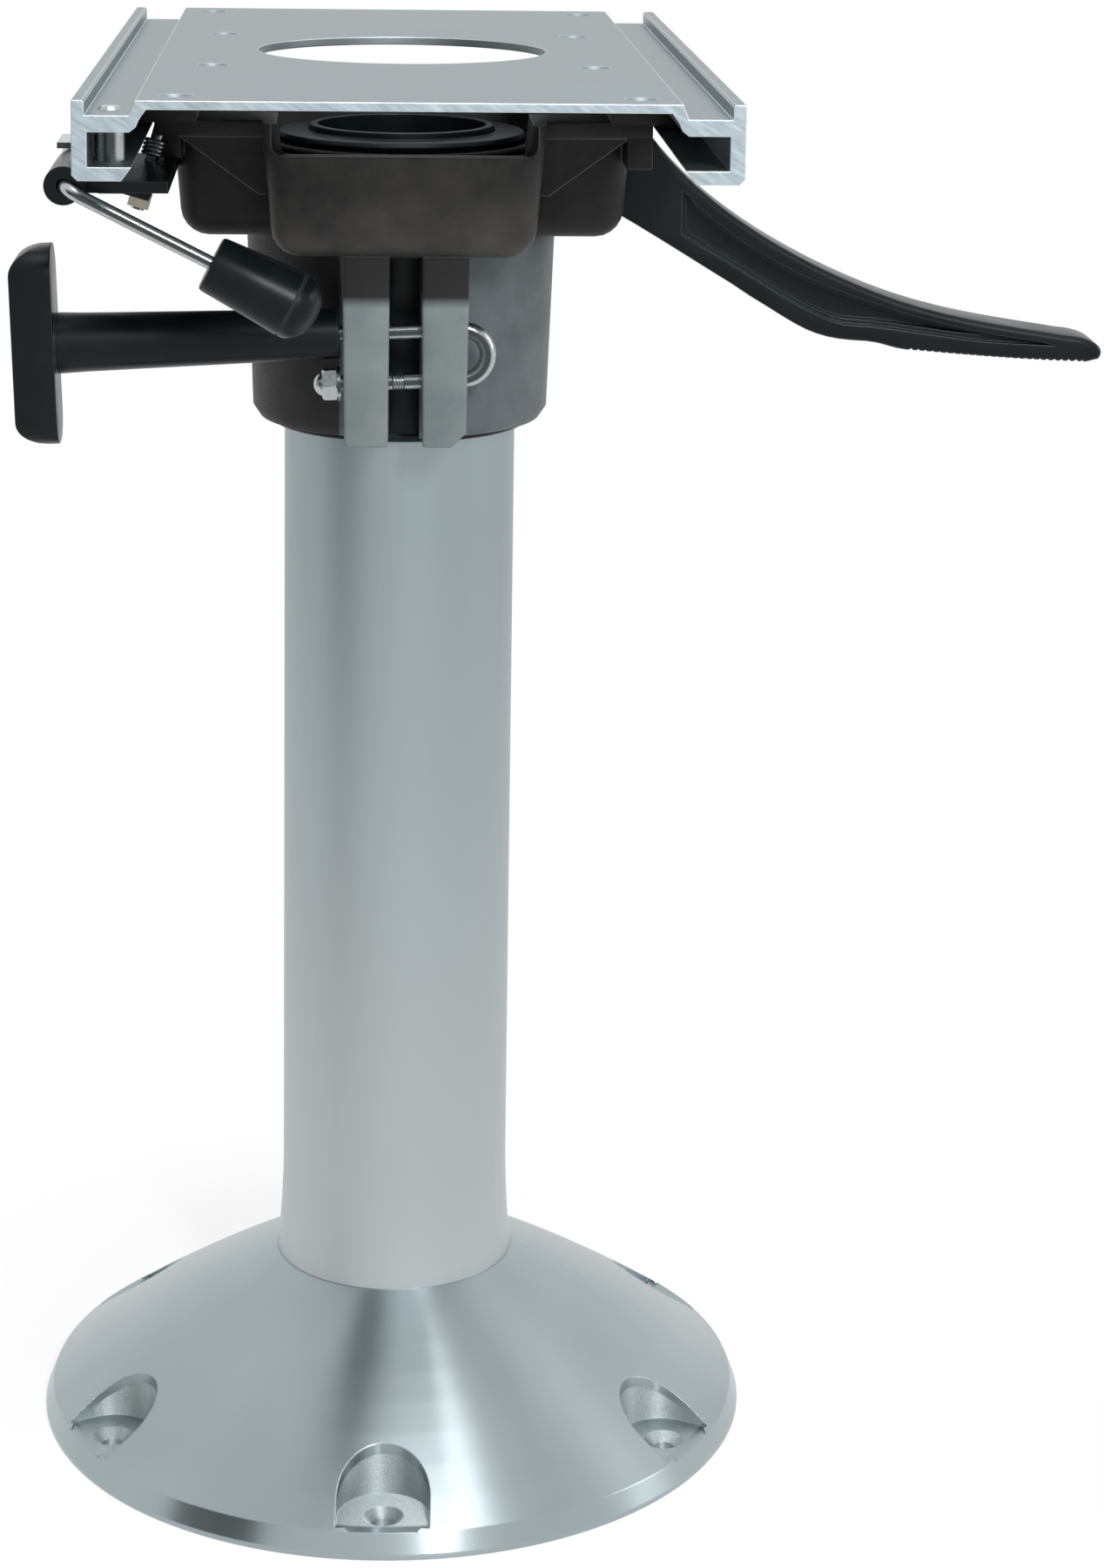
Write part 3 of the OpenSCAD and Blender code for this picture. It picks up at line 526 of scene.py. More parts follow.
class Shaper:
    """One mesh that is shaped in edit mode; its measures are in millimetres."""

    def __init__(self, name: str, points: Sequence[Sequence[float]], filled: bool = True) -> None:
        """Starts from a ring of vertices.

        Args:
            name: name of the piece.
            points: places of the ring's vertices.
            filled: whether the ring gets a face.
        """
        bpy.ops.object.select_all(action="DESELECT")
        bpy.ops.mesh.primitive_circle_add(vertices=len(points), fill_type="NGON" if filled else "NOTHING")
        self.obj = bpy.context.object
        self.obj.name = self.obj.data.name = name
        for vertex, point in zip(self.obj.data.vertices, points):
            vertex.co = Vector(point) * MM

    def edit(self, pick: Callable | None = None, kind: str = "FACE") -> None:
        """Enters edit mode and selects what pick accepts.

        Args:
            pick: test on a face, edge or vertex; everything is selected without it.
            kind: FACE, EDGE or VERT.
        """
        use(self.obj)
        bpy.ops.object.mode_set(mode="EDIT")
        bpy.ops.mesh.select_mode(type=kind)
        bpy.ops.mesh.select_all(action="DESELECT" if pick else "SELECT")
        if pick:
            mesh = bmesh.from_edit_mesh(self.obj.data)
            for part in {"FACE": mesh.faces, "EDGE": mesh.edges, "VERT": mesh.verts}[kind]:
                part.select = bool(pick(part))
            mesh.select_flush_mode()
            bmesh.update_edit_mesh(self.obj.data)

    def leave(self) -> None:
        """Leaves edit mode with all normals outwards."""
        bpy.ops.mesh.select_all(action="SELECT")
        bpy.ops.mesh.remove_doubles(threshold=0.00001)
        bpy.ops.mesh.normals_make_consistent(inside=False)
        bpy.ops.object.mode_set(mode="OBJECT")

    def extrude(self, x: float, y: float, z: float) -> None:
        """Extrudes the selection in edit mode.

        Args:
            x: travel along X.
            y: travel along Y.
            z: travel along Z.
        """
        bpy.ops.mesh.extrude_region_move(TRANSFORM_OT_translate={"value": (x * MM, y * MM, z * MM)})

    def modifier(self, kind: str, **values) -> None:
        """Adds a modifier, sets it and applies it.

        Args:
            kind: modifier type.
            **values: its properties.
        """
        use(self.obj)
        mod = self.obj.modifiers.new(kind.lower(), kind)
        for name, value in values.items():
            setattr(mod, name, value)
        bpy.ops.object.modifier_apply(modifier=mod.name)

    def round_edges(self, width: float, segments: int = 2, angle: float = 35) -> None:
        """Rounds the sharp edges.

        Args:
            width: width of the rounding.
            segments: segments across it.
            angle: edges sharper than this many degrees are rounded.
        """
        self.modifier("BEVEL", width=width * MM, segments=segments, limit_method="ANGLE", angle_limit=math.radians(angle))

    def cut(self, other: "Shaper", operation: str = "DIFFERENCE") -> None:
        """Combines with another mesh, which is then removed.

        Args:
            other: the other mesh.
            operation: DIFFERENCE, UNION or INTERSECT.
        """
        self.modifier("BOOLEAN", object=other.obj, operation=operation, solver="EXACT")
        bpy.data.objects.remove(other.obj)

    def place(self, matrix: Matrix) -> None:
        """Moves the mesh itself, so that the object stays at the origin.

        Args:
            matrix: the move, in metres.
        """
        self.obj.data.transform(matrix)

    def finish(self, palette: "Palette", slot: "Slot", body: str, *nodes: str) -> bpy.types.Object:
        """Shades, dresses and hands the piece to its body.

        Args:
            palette: the materials.
            slot: the piece's finish.
            body: body that it rides on.
            *nodes: frame nodes that it stands for.

        Returns:
            The finished object.
        """
        use(self.obj)
        bpy.ops.object.shade_smooth_by_angle(angle=math.radians(35))
        palette.dress(self.obj, slot)
        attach(self.obj, body)
        if nodes:
            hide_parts(*nodes)
        LOG.info("built %s, %d faces", self.obj.name, len(self.obj.data.polygons))
        return self.obj


def prism(name: str, outline: Sequence[Sequence[float]], y0: float, y1: float) -> Shaper:
    """Extrudes an outline drawn in x and z along Y.

    Args:
        name: name of the piece.
        outline: points (x, z).
        y0: start.
        y1: end.

    Returns:
        The shaped mesh.
    """
    shape = Shaper(name, [(x, y0, z) for x, z in outline])
    shape.edit()
    shape.extrude(0, y1 - y0, 0)
    shape.leave()
    return shape


def turned(name: str, profile: Sequence[Sequence[float]], steps: int = 48) -> Shaper:
    """Spins a profile round Z.

    Args:
        name: name of the piece.
        profile: points (radius, height) of a closed line; it may start and end on the axis.
        steps: segments round.

    Returns:
        The shaped mesh.
    """
    shape = Shaper(name, [(r, 0, z) for r, z in profile], filled=False)
    closes_on_axis = profile[0][0] == 0 and profile[-1][0] == 0
    if closes_on_axis:
        shape.edit(lambda e: all(abs(v.co.x) < 1e-9 for v in e.verts), "EDGE")
        bpy.ops.mesh.delete(type="EDGE")
        bpy.ops.object.mode_set(mode="OBJECT")
    shape.edit(None, "EDGE")
    bpy.ops.mesh.spin(steps=steps, angle=2 * math.pi, center=(0, 0, 0), axis=(0, 0, 1))
    shape.leave()
    return shape


def along_x(x: float, y: float, z: float, flip: bool = False) -> Matrix:
    """Matrix that lays +Z along X and puts the origin at a place.

    Args:
        x: place in millimetres.
        y: place in millimetres.
        z: place in millimetres.
        flip: lays +Z along -X instead.

    Returns:
        The matrix.
    """
    return Matrix.Translation(Vector((x, y, z)) * MM) @ Matrix.Rotation(math.radians(-90 if flip else 90), 4, "Y")


def along_minus_y(x: float, y: float, z: float) -> Matrix:
    """Matrix that lays +Z along -Y and puts the origin at a place.

    Args:
        x: place in millimetres.
        y: place in millimetres.
        z: place in millimetres.

    Returns:
        The matrix.
    """
    return Matrix.Translation(Vector((x, y, z)) * MM) @ Matrix.Rotation(math.radians(90), 4, "X")


@dataclass
class SwivelLever:
    """The curved lever of the swivel lock: raised borders, sunk web and fine teeth under the finger rest."""

    pivot: tuple[float, float] = (71.6, 419.2)
    half_width: float = 10.0
    web_half: float = 4.0
    teeth: int = 25
    tooth_pitch: float = 2.3

    def outline(self) -> list[tuple[float, float]]:
        """Outline in x and z from the pivot.

        Returns:
            The points, upper edge first.
        """
        line = [(-5.1, -4), (-4.6, 0.0), (-3.2, 3.2), (0, 4.6), (3.4, 3.8), (7.5, 0.8)]
        line += curve_points((7.5, 0.8), (21.4, -17.2), (46.4, -34.4), (78.4, -46.8), 14)
        line += curve_points((78.4, -46.8), (100.4, -55.4), (124.4, -57.9), (139.4, -60.4), 9)
        line += curve_points((139.4, -60.4), (148.4, -60.9), (153.4, -64.4), (150.4, -68.0), 10)
        line += [(146.4, -69)]
        line += curve_points((146.4, -69), (124.4, -68.5), (104.4, -66.6), (88.4, -65.3), 6)
        line += curve_points((88.4, -65.3), (82.4, -64.6), (81.4, -62.6), (71.4, -62.4), 6)
        line += curve_points((71.4, -62.4), (57.4, -61.4), (53.4, -57.2), (38.4, -48.3), 9)
        line += curve_points((38.4, -47.9), (28.4, -42.2), (8.4, -29.2), (-5.1, -21.7), 6)
        return line

    def web(self, inset: float) -> list[tuple[float, float]]:
        """Outline of the recess between the borders, in x and z from the pivot.

        Args:
            inset: how far it lies inside the real recess.

        Returns:
            The points.
        """
        rise = inset * 0.75
        end = 112.0 if inset else 140.0
        line = [(16.4 + inset, -14.7 - rise)]
        line += [(x + (inset if x < 20 else 0), z - rise) for x, z in curve_points((16.4, -14.7), (32.4, -31.2), (52.4, -42.2), (78.4, -50.4), 10)]
        line += [(x, z - rise) for x, z in curve_points((78.4, -50.4), (93.4, -56.0), (114.4, -60.0), (132.4, -62.6), 5)]
        line = [point for point in line if point[0] < end]
        line += [(113.5, -60.6) if inset else (136.4, -63.7)]
        low = curve_points((136.4, -64.3), (108.4, -63.2), (86.4, -57.7), (68.4, -57), 7)
        low += curve_points((68.4, -57), (56.4, -54.4), (44.4, -44.8), (16.4, -28.7), 8)
        line += [(x + (inset if x < 20 else 0), z + inset) for x, z in low[1:] if x < end]
        return line

    def placed(self, points) -> list[tuple[float, float]]:
        """Moves points from the pivot to the frame.

        Args:
            points: points (x, z).

        Returns:
            The moved points.
        """
        return [(x + self.pivot[0], z + self.pivot[1]) for x, z in points]

    def build(self, palette: "Palette") -> None:
        """Builds and dresses the lever.

        Args:
            palette: the materials.
        """
        shape = prism("swivel_lever_handle", self.placed(self.outline()), -self.half_width, self.half_width)
        face = (self.half_width - 0.01) * MM
        shape.edit(lambda e: all(v.co.y < -face for v in e.verts) or all(v.co.y > face for v in e.verts), "EDGE")
        bpy.ops.mesh.bevel(offset=1.8 * MM, segments=4, profile=0.5, clamp_overlap=False)
        shape.leave()
        for side in (-1, 1):
            for level, inset in ((self.half_width - 2.6, 0.0), (self.web_half, 1.6)):
                y0, y1 = sorted((side * level, side * (self.half_width + 2)))
                cutter = prism("web", self.placed(self.web(inset)), y0, y1)
                cutter.modifier("TRIANGULATE")
                shape.cut(cutter)
        shape.round_edges(0.5, 3, 38)
        comb = [(218.6, 345.0)]
        for i in range(self.teeth):
            x = 217.0 - i * self.tooth_pitch
            z = 350.25 + 0.0011 * (217.4 - x) ** 2
            comb += [(x, z + 0.95), (x - self.tooth_pitch / 2, z - 0.15)]
        shape.cut(prism("comb", comb + [(x - self.tooth_pitch, 345.0)], -12, 12))
        for name, radius, half, place in (("pin_bore", 2.1, 12.0, self.pivot), ("link_bore", 1.32, 8.6, (71.0, 403.0))):
            bore = turned(name, [(0, -half), (radius, -half), (radius, half), (0, half)], 32)
            bore.place(along_minus_y(place[0], 0, place[1]))
            shape.cut(bore)
        shape.cut(prism("plunger_slot", [(60, 399.5), (75, 399.5), (75, 406.5), (60, 406.5)], -3.2, 3.2))
        shape.finish(palette, Slot.BLACK_PLASTIC, "swivel_handle", "swivel_lever")
        for name, radius, y0, y1, place, body, node in (
            ("lever_pivot_pin", 2.0, -54.0, 20.0, self.pivot, "bracket", "lever_pivot"),
            ("lever_link_pin", 1.3, -8.4, 8.4, (71.0, 403.0), "swivel_handle", "link_pin"),
        ):
            end = radius - 0.4
            profile = [(0, -y1), (end, -y1), (radius, -y1 + 0.4), (radius, -y0 - 0.4), (end, -y0), (0, -y0)]
            pin = turned(name, profile, 32)
            pin.place(along_minus_y(place[0], 0, place[1]))
            pin.finish(palette, Slot.STEEL, body, node)


def block(name: str, x: tuple[float, float], y: tuple[float, float], z: tuple[float, float], radius: float = 0) -> Shaper:
    """Extrudes a rectangle and rounds its edges.

    Args:
        name: name of the piece.
        x: ends along X.
        y: ends along Y.
        z: ends along Z.
        radius: rounding of the edges.

    Returns:
        The shaped mesh.
    """
    shape = prism(name, [(x[0], z[0]), (x[1], z[0]), (x[1], z[1]), (x[0], z[1])], *y)
    if radius:
        shape.round_edges(radius, 3, 60)
    return shape


@dataclass
class CollarBushing:
    """The slit plastic liner between column and collar, of which only a thin lip shows."""

    bore_r: float = 36.62
    outer_r: float = 38.6
    lip_r: float = 40.6
    low_z: float = 330.0
    lip_z: float = 331.95
    top_z: float = 391.0
    slit: float = 3.0

    def build(self, palette: "Palette") -> None:
        """Builds and dresses the bushing.

        Args:
            palette: the materials.
        """
        line = [(self.bore_r, self.low_z), (self.lip_r - 0.4, self.low_z), (self.lip_r, self.low_z + 0.4)]
        line += [(self.lip_r, self.lip_z), (self.outer_r, self.lip_z), (self.outer_r, self.top_z), (self.bore_r, self.top_z)]
        bushing = turned("collar_liner", line, 96)
        bushing.cut(block("liner_slit", (-self.slit / 2, self.slit / 2), (3, 45), (320, 395)))
        bushing.finish(palette, Slot.BLACK_PLASTIC, "bracket", "collar_bushing")


@dataclass
class Bracket:
    """The swivel bracket casting: tub, front pocket, flange, wings, hub, split collar and clamp ears."""

    tub_z: float = 393.0
    top_z: float = 431.1
    tub_half: float = 70.2
    pocket_half: float = 42.2
    wall: float = 4.0
    collar_z: float = 331.0
    split: tuple[float, float] = (-4.1, 5.3)
    ears: tuple[tuple[float, float], ...] = ((-18.5, -4.1), (5.3, 19.7))

    def shell(self, inset: float) -> Shaper:
        """Tub and pocket as one solid.

        Args:
            inset: how far it lies inside the casting's outer faces.

        Returns:
            The shaped mesh.
        """
        top = self.top_z + (1 if inset else 0)
        made = []
        for name, half, draft, low, y0, y1 in (
            ("tub", self.tub_half, 3.2, self.tub_z, -40.0, 50.0),
            ("pocket", self.pocket_half, 3.4, self.tub_z - 1.8, -72.0, 4.0),
        ):
            a, b = half - inset, half - draft - inset
            part = prism(name, [(-a, top), (-b, low + inset), (b, low + inset), (a, top)], y0 + inset, y1 - inset)
            part.edit(lambda e: not all(v.co.z > (top - 0.1) * MM for v in e.verts), "EDGE")
            bpy.ops.mesh.bevel(offset=(8.0 - inset) * MM, segments=5, profile=0.5)
            part.leave()
            made.append(part)
        made[0].cut(made[1], "UNION")
        return made[0]

    def build(self, palette: "Palette") -> None:
        """Builds and dresses the casting.

        Args:
            palette: the materials.
        """
        body = self.shell(0)
        body.cut(block("flange", (-74.3, 74.3), (-58, 58), (426.2, self.top_z), 0.8), "UNION")
        body.cut(self.shell(self.wall))
        body.cut(block("pocket_notch", (-39.4, 39.4), (-75, -66), (422, 440), 3))
        for side in (-1, 1):
            line = [(68, 426.7), (41.0, 426.7), (41.0, 408.7), (43.4, 408.7)]
            body.cut(prism("gusset", [(side * x, z) for x, z in line], -57, -53.5), "UNION")
            x = sorted((side * 62, side * 84.7))
            body.cut(block("wing", (x[0], x[1]), (-58, 58), (430.2, 436.9), 0.6), "UNION")
        for y in ((-58, -10.6), (10.6, 20)):
            body.cut(block("lug", (66.5, 74.3), y, (416.9, 427), 0.6), "UNION")
        body.cut(block("skirt", (-74.3, -66.5), (-47, -17), (418.3, 427), 0.6), "UNION")
        body.cut(turned("hub", [(0, 392), (42, 392), (42, 418.2), (41.2, 419), (0, 419)], 96), "UNION")
        collar = [(0, 332), (44.4, 332), (46.5, 335.2), (48.5, 393.5), (0, 393.5)]
        body.cut(turned("collar", collar, 96), "UNION")
        for x0, x1 in self.ears:
            low = [(x0 + 0.9, 333)] if x0 < 0 else [(x0 + 0.6, 333)]
            foot = [(x1 - 0.4, 333)] if x0 < 0 else [(x1 - 5.2, 333), (x1 - 0.7, 337.4)]
            ear = prism("ear", [(x0, 394)] + low + foot + [(x1, 394)], -64, -34)
            ear.round_edges(0.9, 3, 50)
            body.cut(ear, "UNION")
        body.cut(block("collar_split", self.split, (-70, -20), (330, 388.5)))
        for name, radius, low, high in (("bush_seat", 38.75, 330, 391.15), ("bore", 36.9, 330, 417), ("ring_seat", 39.45, 416, 440)):
            body.cut(turned(name, [(0, low), (radius, low), (radius, high), (0, high)], 96))
        for z in (367.4, 352.1):
            bore = turned("leg_bore", [(0, -23), (2.65, -23), (2.65, 16), (3.0, 17.5), (3.0, 23), (0, 23)], 32)
            bore.place(drooped() @ along_x(0, -56.5, z))
            body.cut(bore)
        body.cut(block("lever_slot", (59, 80), (-10.6, 10.6), (412, 426.2)))
        body.cut(block("lever_notch", (65.9, 80), (-10.6, 10.6), (390, 416)))
        pivot = turned("pivot_bore", [(0, -21), (2.02, -21), (2.02, 54.2), (0, 54.2)], 32)
        pivot.place(along_minus_y(71.6, 0, 419.2))
        body.cut(pivot)
        plunger = turned("plunger_bore", [(0, 34), (2.58, 34), (2.58, 74), (0, 74)], 32)
        plunger.place(along_x(0, 0, 403))
        body.cut(plunger)
        bolt = turned("lock_bolt_bore", [(0, -20), (2.2, -20), (2.2, 5.9), (3.4, 5.9), (3.4, 12), (0, 12)], 32)
        bolt.place(leaned() @ Matrix.Translation(Vector((0, 0, 430.2)) * MM) @ Matrix.Translation(Vector((-72.1, -53, 0)) * MM))
        body.cut(bolt)
        body.finish(palette, Slot.CAST_BRACKET, "bracket", "swivel_bracket")


def leaned() -> Matrix:
    """Matrix of the slant of the slide lock's bolt.

    Returns:
        The matrix.
    """
    place = Vector((-72.1, -53.0, 430.2)) * MM
    return Matrix.Translation(place) @ Matrix.Rotation(math.radians(16), 4, "Y") @ Matrix.Translation(-place)


def drooped() -> Matrix:
    """Matrix of the clamp's slight droop towards its handle.

    Returns:
        The matrix.
    """
    place = Vector((0.6, 0, 359.75)) * MM
    return Matrix.Translation(place) @ Matrix.Rotation(math.radians(-2.2), 4, "Y") @ Matrix.Translation(-place)


@dataclass
class TeeHandle:
    """The tee handle of the collar clamp: tapered shaft and crowned bar."""

    tip_x: float = -18.8
    place: tuple[float, float] = (-56.5, 367.4)
    shaft: float = 84.0
    bar_half: float = 30.2
    bar_depth: float = 12.4
    bar_width: float = 22.0
    crown: float = 8.0
    corner: float = 9.0

    def build(self, palette: "Palette") -> None:
        """Builds and dresses the handle.

        Args:
            palette: the materials.
        """
        y, z = self.place
        x0 = self.tip_x - self.shaft - 0.8
        arc = [math.radians(a) for a in range(0, 91, 10)]
        top = [(x0 - self.bar_depth * math.sin(a), z + self.bar_half - self.crown * (1 - math.cos(a))) for a in arc]
        bar = prism("tee_handle_bar", top + [(x, 2 * z - h) for x, h in reversed(top)],
                    y - self.bar_width / 2, y + self.bar_width / 2)
        rim = []
        for sy, sz, start in ((1, 1, 0), (-1, 1, 90), (-1, -1, 180), (1, -1, 270)):
            for step in range(0, 91, 15):
                angle = math.radians(start + step)
                rim.append((x0 + 2, y + sy * (self.bar_width / 2 - self.corner) + self.corner * math.cos(angle),
                            z + sz * (self.bar_half - self.corner) + self.corner * math.sin(angle)))
        limit = Shaper("bar_limit", rim)
        limit.edit()
        limit.extrude(-self.bar_depth - 4, 0, 0)
        limit.leave()
        bar.cut(limit, "INTERSECT")
        bar.round_edges(1.2, 3, 40)
        shaft = turned(
            "tee_shaft",
            [(0, 26), (3, 26), (3, 20), (4.63, 20), (4.63, 0), (7.1, 0), (7.5, 0.5), (7.7, 12), (8.9, 76),
             (9.2, 83), (9.2, 87), (0, 87)],
            64,
        )
        shaft.place(along_x(self.tip_x, y, z, flip=True))
        bar.cut(shaft, "UNION")
        bar.place(drooped())
        bar.finish(palette, Slot.BLACK_PLASTIC, "clamp_handle", "tee_handle")


@dataclass
class LockLever:
    """Grip and rod of the slide lock."""

    barrel: tuple[float, float] = (-97.5, 417.4)
    front: float = -110.0
    slope: float = 27.0
    rod_r: float = 2.0

    def lay(self) -> Matrix:
        """Matrix from the rod's own axis to its place.

        Returns:
            The matrix.
        """
        x, z = self.barrel
        return Matrix.Translation(Vector((x, self.front, z)) * MM) @ Matrix.Rotation(math.radians(90 + self.slope), 4, "Y")

    def build(self, palette: "Palette") -> None:
        """Builds and dresses the grip and the bent rod.

        Args:
            palette: the materials.
        """
        grip = [(0, 65), (2.02, 65), (2.02, 47), (7.4, 47), (8.0, 47.3), (8.3, 48.2), (9.2, 62), (9.95, 72.2),
                (9.95, 72.4), (9.65, 72.6), (9.65, 72.9), (9.95, 73.1)]
        grip += [(10.0 * math.cos(a), 73.4 + 7.4 * math.sin(a)) for a in (0.15 * i for i in range(1, 10))]
        grip.append((0, 80.8))
        shape = turned("lock_lever_grip", grip, 64)
        shape.place(self.lay())
        shape.finish(palette, Slot.BLACK_PLASTIC, "slide_lever", "lock_grip")
        x, z = self.barrel
        ring = [(x + self.rod_r * math.cos(a), self.front + 6, z + self.rod_r * math.sin(a))
                for a in (math.radians(15 * i) for i in range(24))]
        rod = Shaper("lock_lever_rod", ring)
        rod.edit()
        rod.extrude(0, 78.6, 0)
        rod.leave()
        rod.edit(lambda f: f.calc_center_median().y < (self.front + 6.1) * MM and len(f.verts) > 4)
        turn = math.radians(self.slope)
        centre = (x + 6 * math.cos(turn), self.front + 6, z - 6 * math.sin(turn))
        # the bend turns from -Y to the rod's slope about the normal of the plane they span
        bpy.ops.mesh.spin(steps=10, angle=math.radians(90), center=Vector(centre) * MM,
                          axis=Vector((-math.sin(turn), 0, -math.cos(turn))))
        rod.extrude(58 * math.cos(turn), 0, -58 * math.sin(turn))
        rod.leave()
        rod.finish(palette, Slot.STEEL, "slide_lever", "lock_rod")


@dataclass
class ClampBolt:
    """The bent clamp bolt with its thread and dome nut."""

    axis_y: float = -56.5
    upper_z: float = 367.4
    pitch: float = 15.3
    bend_x: float = 17.9
    upper_end: float = -42.5
    lower_end: float = -24.4
    wire_r: float = 2.5
    nut_x: float = -20.0
    nut_half: float = 4.5
    nut_t: float = 4.6

    def build(self, palette: "Palette") -> None:
        """Builds and dresses bolt, thread and nut.

        Args:
            palette: the materials.
        """
        low_z = self.upper_z - self.pitch
        ring = [(self.upper_end, self.axis_y + self.wire_r * math.cos(a), self.upper_z + self.wire_r * math.sin(a))
                for a in (math.radians(15 * i) for i in range(24))]
        bolt = Shaper("clamp_u_bolt", ring)
        bolt.edit()
        bolt.extrude(self.bend_x - self.upper_end, 0, 0)
        bolt.leave()
        bolt.edit(lambda f: f.calc_center_median().x > (self.bend_x - 0.1) * MM and len(f.verts) > 4)
        centre = Vector((self.bend_x, self.axis_y, self.upper_z - self.pitch / 2)) * MM
        bpy.ops.mesh.spin(steps=24, angle=-math.pi, center=centre, axis=(0, 1, 0))
        bolt.extrude(self.lower_end - self.bend_x, 0, 0)
        bolt.leave()
        bolt.place(drooped())
        bolt.finish(palette, Slot.STEEL, "bracket", "clamp_bolt")
        turns = 5
        thread = Shaper("clamp_thread", [(2.46, 0, -0.3), (2.8, 0, 0), (2.46, 0, 0.3), (2.3, 0, 0)], filled=False)
        thread.modifier("SCREW", angle=math.radians(360 * turns), screw_offset=0.8 * turns * MM, steps=20 * turns,
                        render_steps=20 * turns, axis="Z")
        thread.place(drooped() @ along_x(-3.9, self.axis_y, low_z))
        thread.finish(palette, Slot.STEEL, "bracket")
        corners = [math.radians(60 * i + 30) for i in range(6)]
        reach = self.nut_half / math.cos(math.pi / 6)
        nut = Shaper("clamp_dome_nut", [(reach * math.cos(a), reach * math.sin(a), 0) for a in corners])
        nut.edit()
        nut.extrude(0, 0, self.nut_t)
        nut.leave()
        limit = [(0, -0.1), (4.5, -0.1), (5.3, 0.5), (5.3, self.nut_t - 0.9), (4.3, self.nut_t + 0.1), (0, self.nut_t + 0.1)]
        nut.cut(turned("nut_limit", limit, 48), "INTERSECT")
        cap = [(3.7 * math.cos(a), self.nut_t - 0.8 + 3.4 * math.sin(a)) for a in (0.2 * i for i in range(0, 8))]
        nut.cut(turned("nut_cap", [(0, 2.0), (3.7, 2.0)] + cap + [(0, self.nut_t + 2.6)], 48), "UNION")
        nut.cut(turned("nut_bore", [(0, -1), (2.59, -1), (2.59, self.nut_t + 0.6), (0, self.nut_t + 0.6)], 32))
        nut.place(drooped() @ along_x(self.nut_x, self.axis_y, low_z, flip=True))
        nut.finish(palette, Slot.STEEL, "bracket", "dome_nut")


@dataclass
class Springs:
    """The coil springs of slide lock and plunger."""

    def coil(self, name: str, radius: float, wire: float, height: float, turns: float) -> Shaper:
        """Winds a coil that stands on Z = 0.

        Args:
            name: name of the piece.
            radius: radius to the middle of the wire.
            wire: radius of the wire.
            height: overall height.
            turns: number of turns.

        Returns:
            The shaped mesh, its ends closed.
        """
        ring = [(radius + wire * math.cos(a), 0, wire + wire * math.sin(a)) for a in (math.radians(30 * i) for i in range(12))]
        shape = Shaper(name, ring, filled=False)
        steps = int(24 * turns)
        shape.modifier("SCREW", angle=2 * math.pi * turns, screw_offset=(height - 2 * wire) * MM, steps=steps,
                       render_steps=steps, axis="Z")
        shape.edit(None, "EDGE")
        bpy.ops.mesh.select_all(action="DESELECT")
        bpy.ops.mesh.select_non_manifold()
        bpy.ops.mesh.edge_face_add()
        shape.leave()
        return shape

    def build(self, palette: "Palette") -> None:
        """Builds and dresses both springs.

        Args:
            palette: the materials.
        """
        lock = self.coil("lock_coil_spring", 3.1, 0.6, 6.3, 4)
        lock.place(leaned() @ Matrix.Translation(Vector((-72.1, -53.0, 418.5)) * MM))
        lock.finish(palette, Slot.STEEL, "bracket", "lock_spring")
        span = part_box("plunger_spring")
        length = (span[1][0] - span[0][0]) / MM
        coil = self.coil("plunger_coil_spring", 3.6, 0.6, length, 6)
        coil.place(along_x(span[0][0] / MM, 0, 403.0))
        coil.finish(palette, Slot.STEEL, "bracket", "plunger_spring")
        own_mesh(coil.obj)


@dataclass
class FrameLooks:
    """Dresses the plain CAD nodes."""

    palette: Palette
    slots: dict[str, Slot] = field(default_factory=dict)

    def apply(self, nodes: dict[str, bpy.types.Object]) -> None:
        """Dresses every node that is still shown.

        Args:
            nodes: node name to object.
        """
        by_name = {s.value.name: s for s in Slot}
        for name, obj in nodes.items():
            self.palette.dress(obj, by_name[self.slots[name]])


@dataclass(frozen=True)
class CameraFit:
    """Camera solved from the known sizes; angles in degrees, place in millimetres."""

    place: tuple[float, float, float] = (-16.96, -1124.46, 551.46)
    yaw: float = -3.312
    pitch: float = 9.613
    roll: float = -0.805
    focal_px: float = 4131.0
    picture: tuple[int, int] = (1268, 1801)
    shift_y: float = -0.2943

    def build(self) -> bpy.types.Object:
        """Makes the camera and sets it as the scene's.

        Returns:
            The camera object.
        """
        data = bpy.data.cameras.new("photo_camera")
        data.sensor_fit = "VERTICAL"
        data.sensor_height = 36.0
        data.lens = self.focal_px / self.picture[1] * 36.0
        data.shift_y = self.shift_y
        data.clip_start = 0.05
        camera = bpy.data.objects.new("photo_camera", data)
        bpy.context.scene.collection.objects.link(camera)
        turn = (
            Matrix.Rotation(math.radians(self.yaw), 3, "Z")
            @ Matrix.Rotation(math.radians(-self.pitch), 3, "X")
            @ Matrix.Rotation(math.radians(self.roll), 3, "Y")
        )
        right, forward, up = turn.col[0], turn.col[1], turn.col[2]
        axes = Matrix((right, up, -forward)).transposed()
        camera.matrix_world = Matrix.Translation(Vector(self.place) * MM) @ axes.to_4x4()
        bpy.context.scene.camera = camera
        return camera


@dataclass(frozen=True)
class Softbox:
    """One area light, aimed at a point; sizes in metres."""

    name: str
    place: tuple[float, float, float]
    aim: tuple[float, float, float]
    size: tuple[float, float]
    power: float

    def build(self) -> bpy.types.Object:
        """Makes the light.

        Returns:
            The light object.
        """
        data = bpy.data.lights.new(self.name, "AREA")
        data.shape = "RECTANGLE"
        data.size, data.size_y = self.size
        data.energy = self.power
        light = bpy.data.objects.new(self.name, data)
        bpy.context.scene.collection.objects.link(light)
        away = Vector(self.place) - Vector(self.aim)
        light.rotation_mode = "QUATERNION"
        light.rotation_quaternion = away.to_track_quat("Z", "Y")
        light.location = self.place
        return light


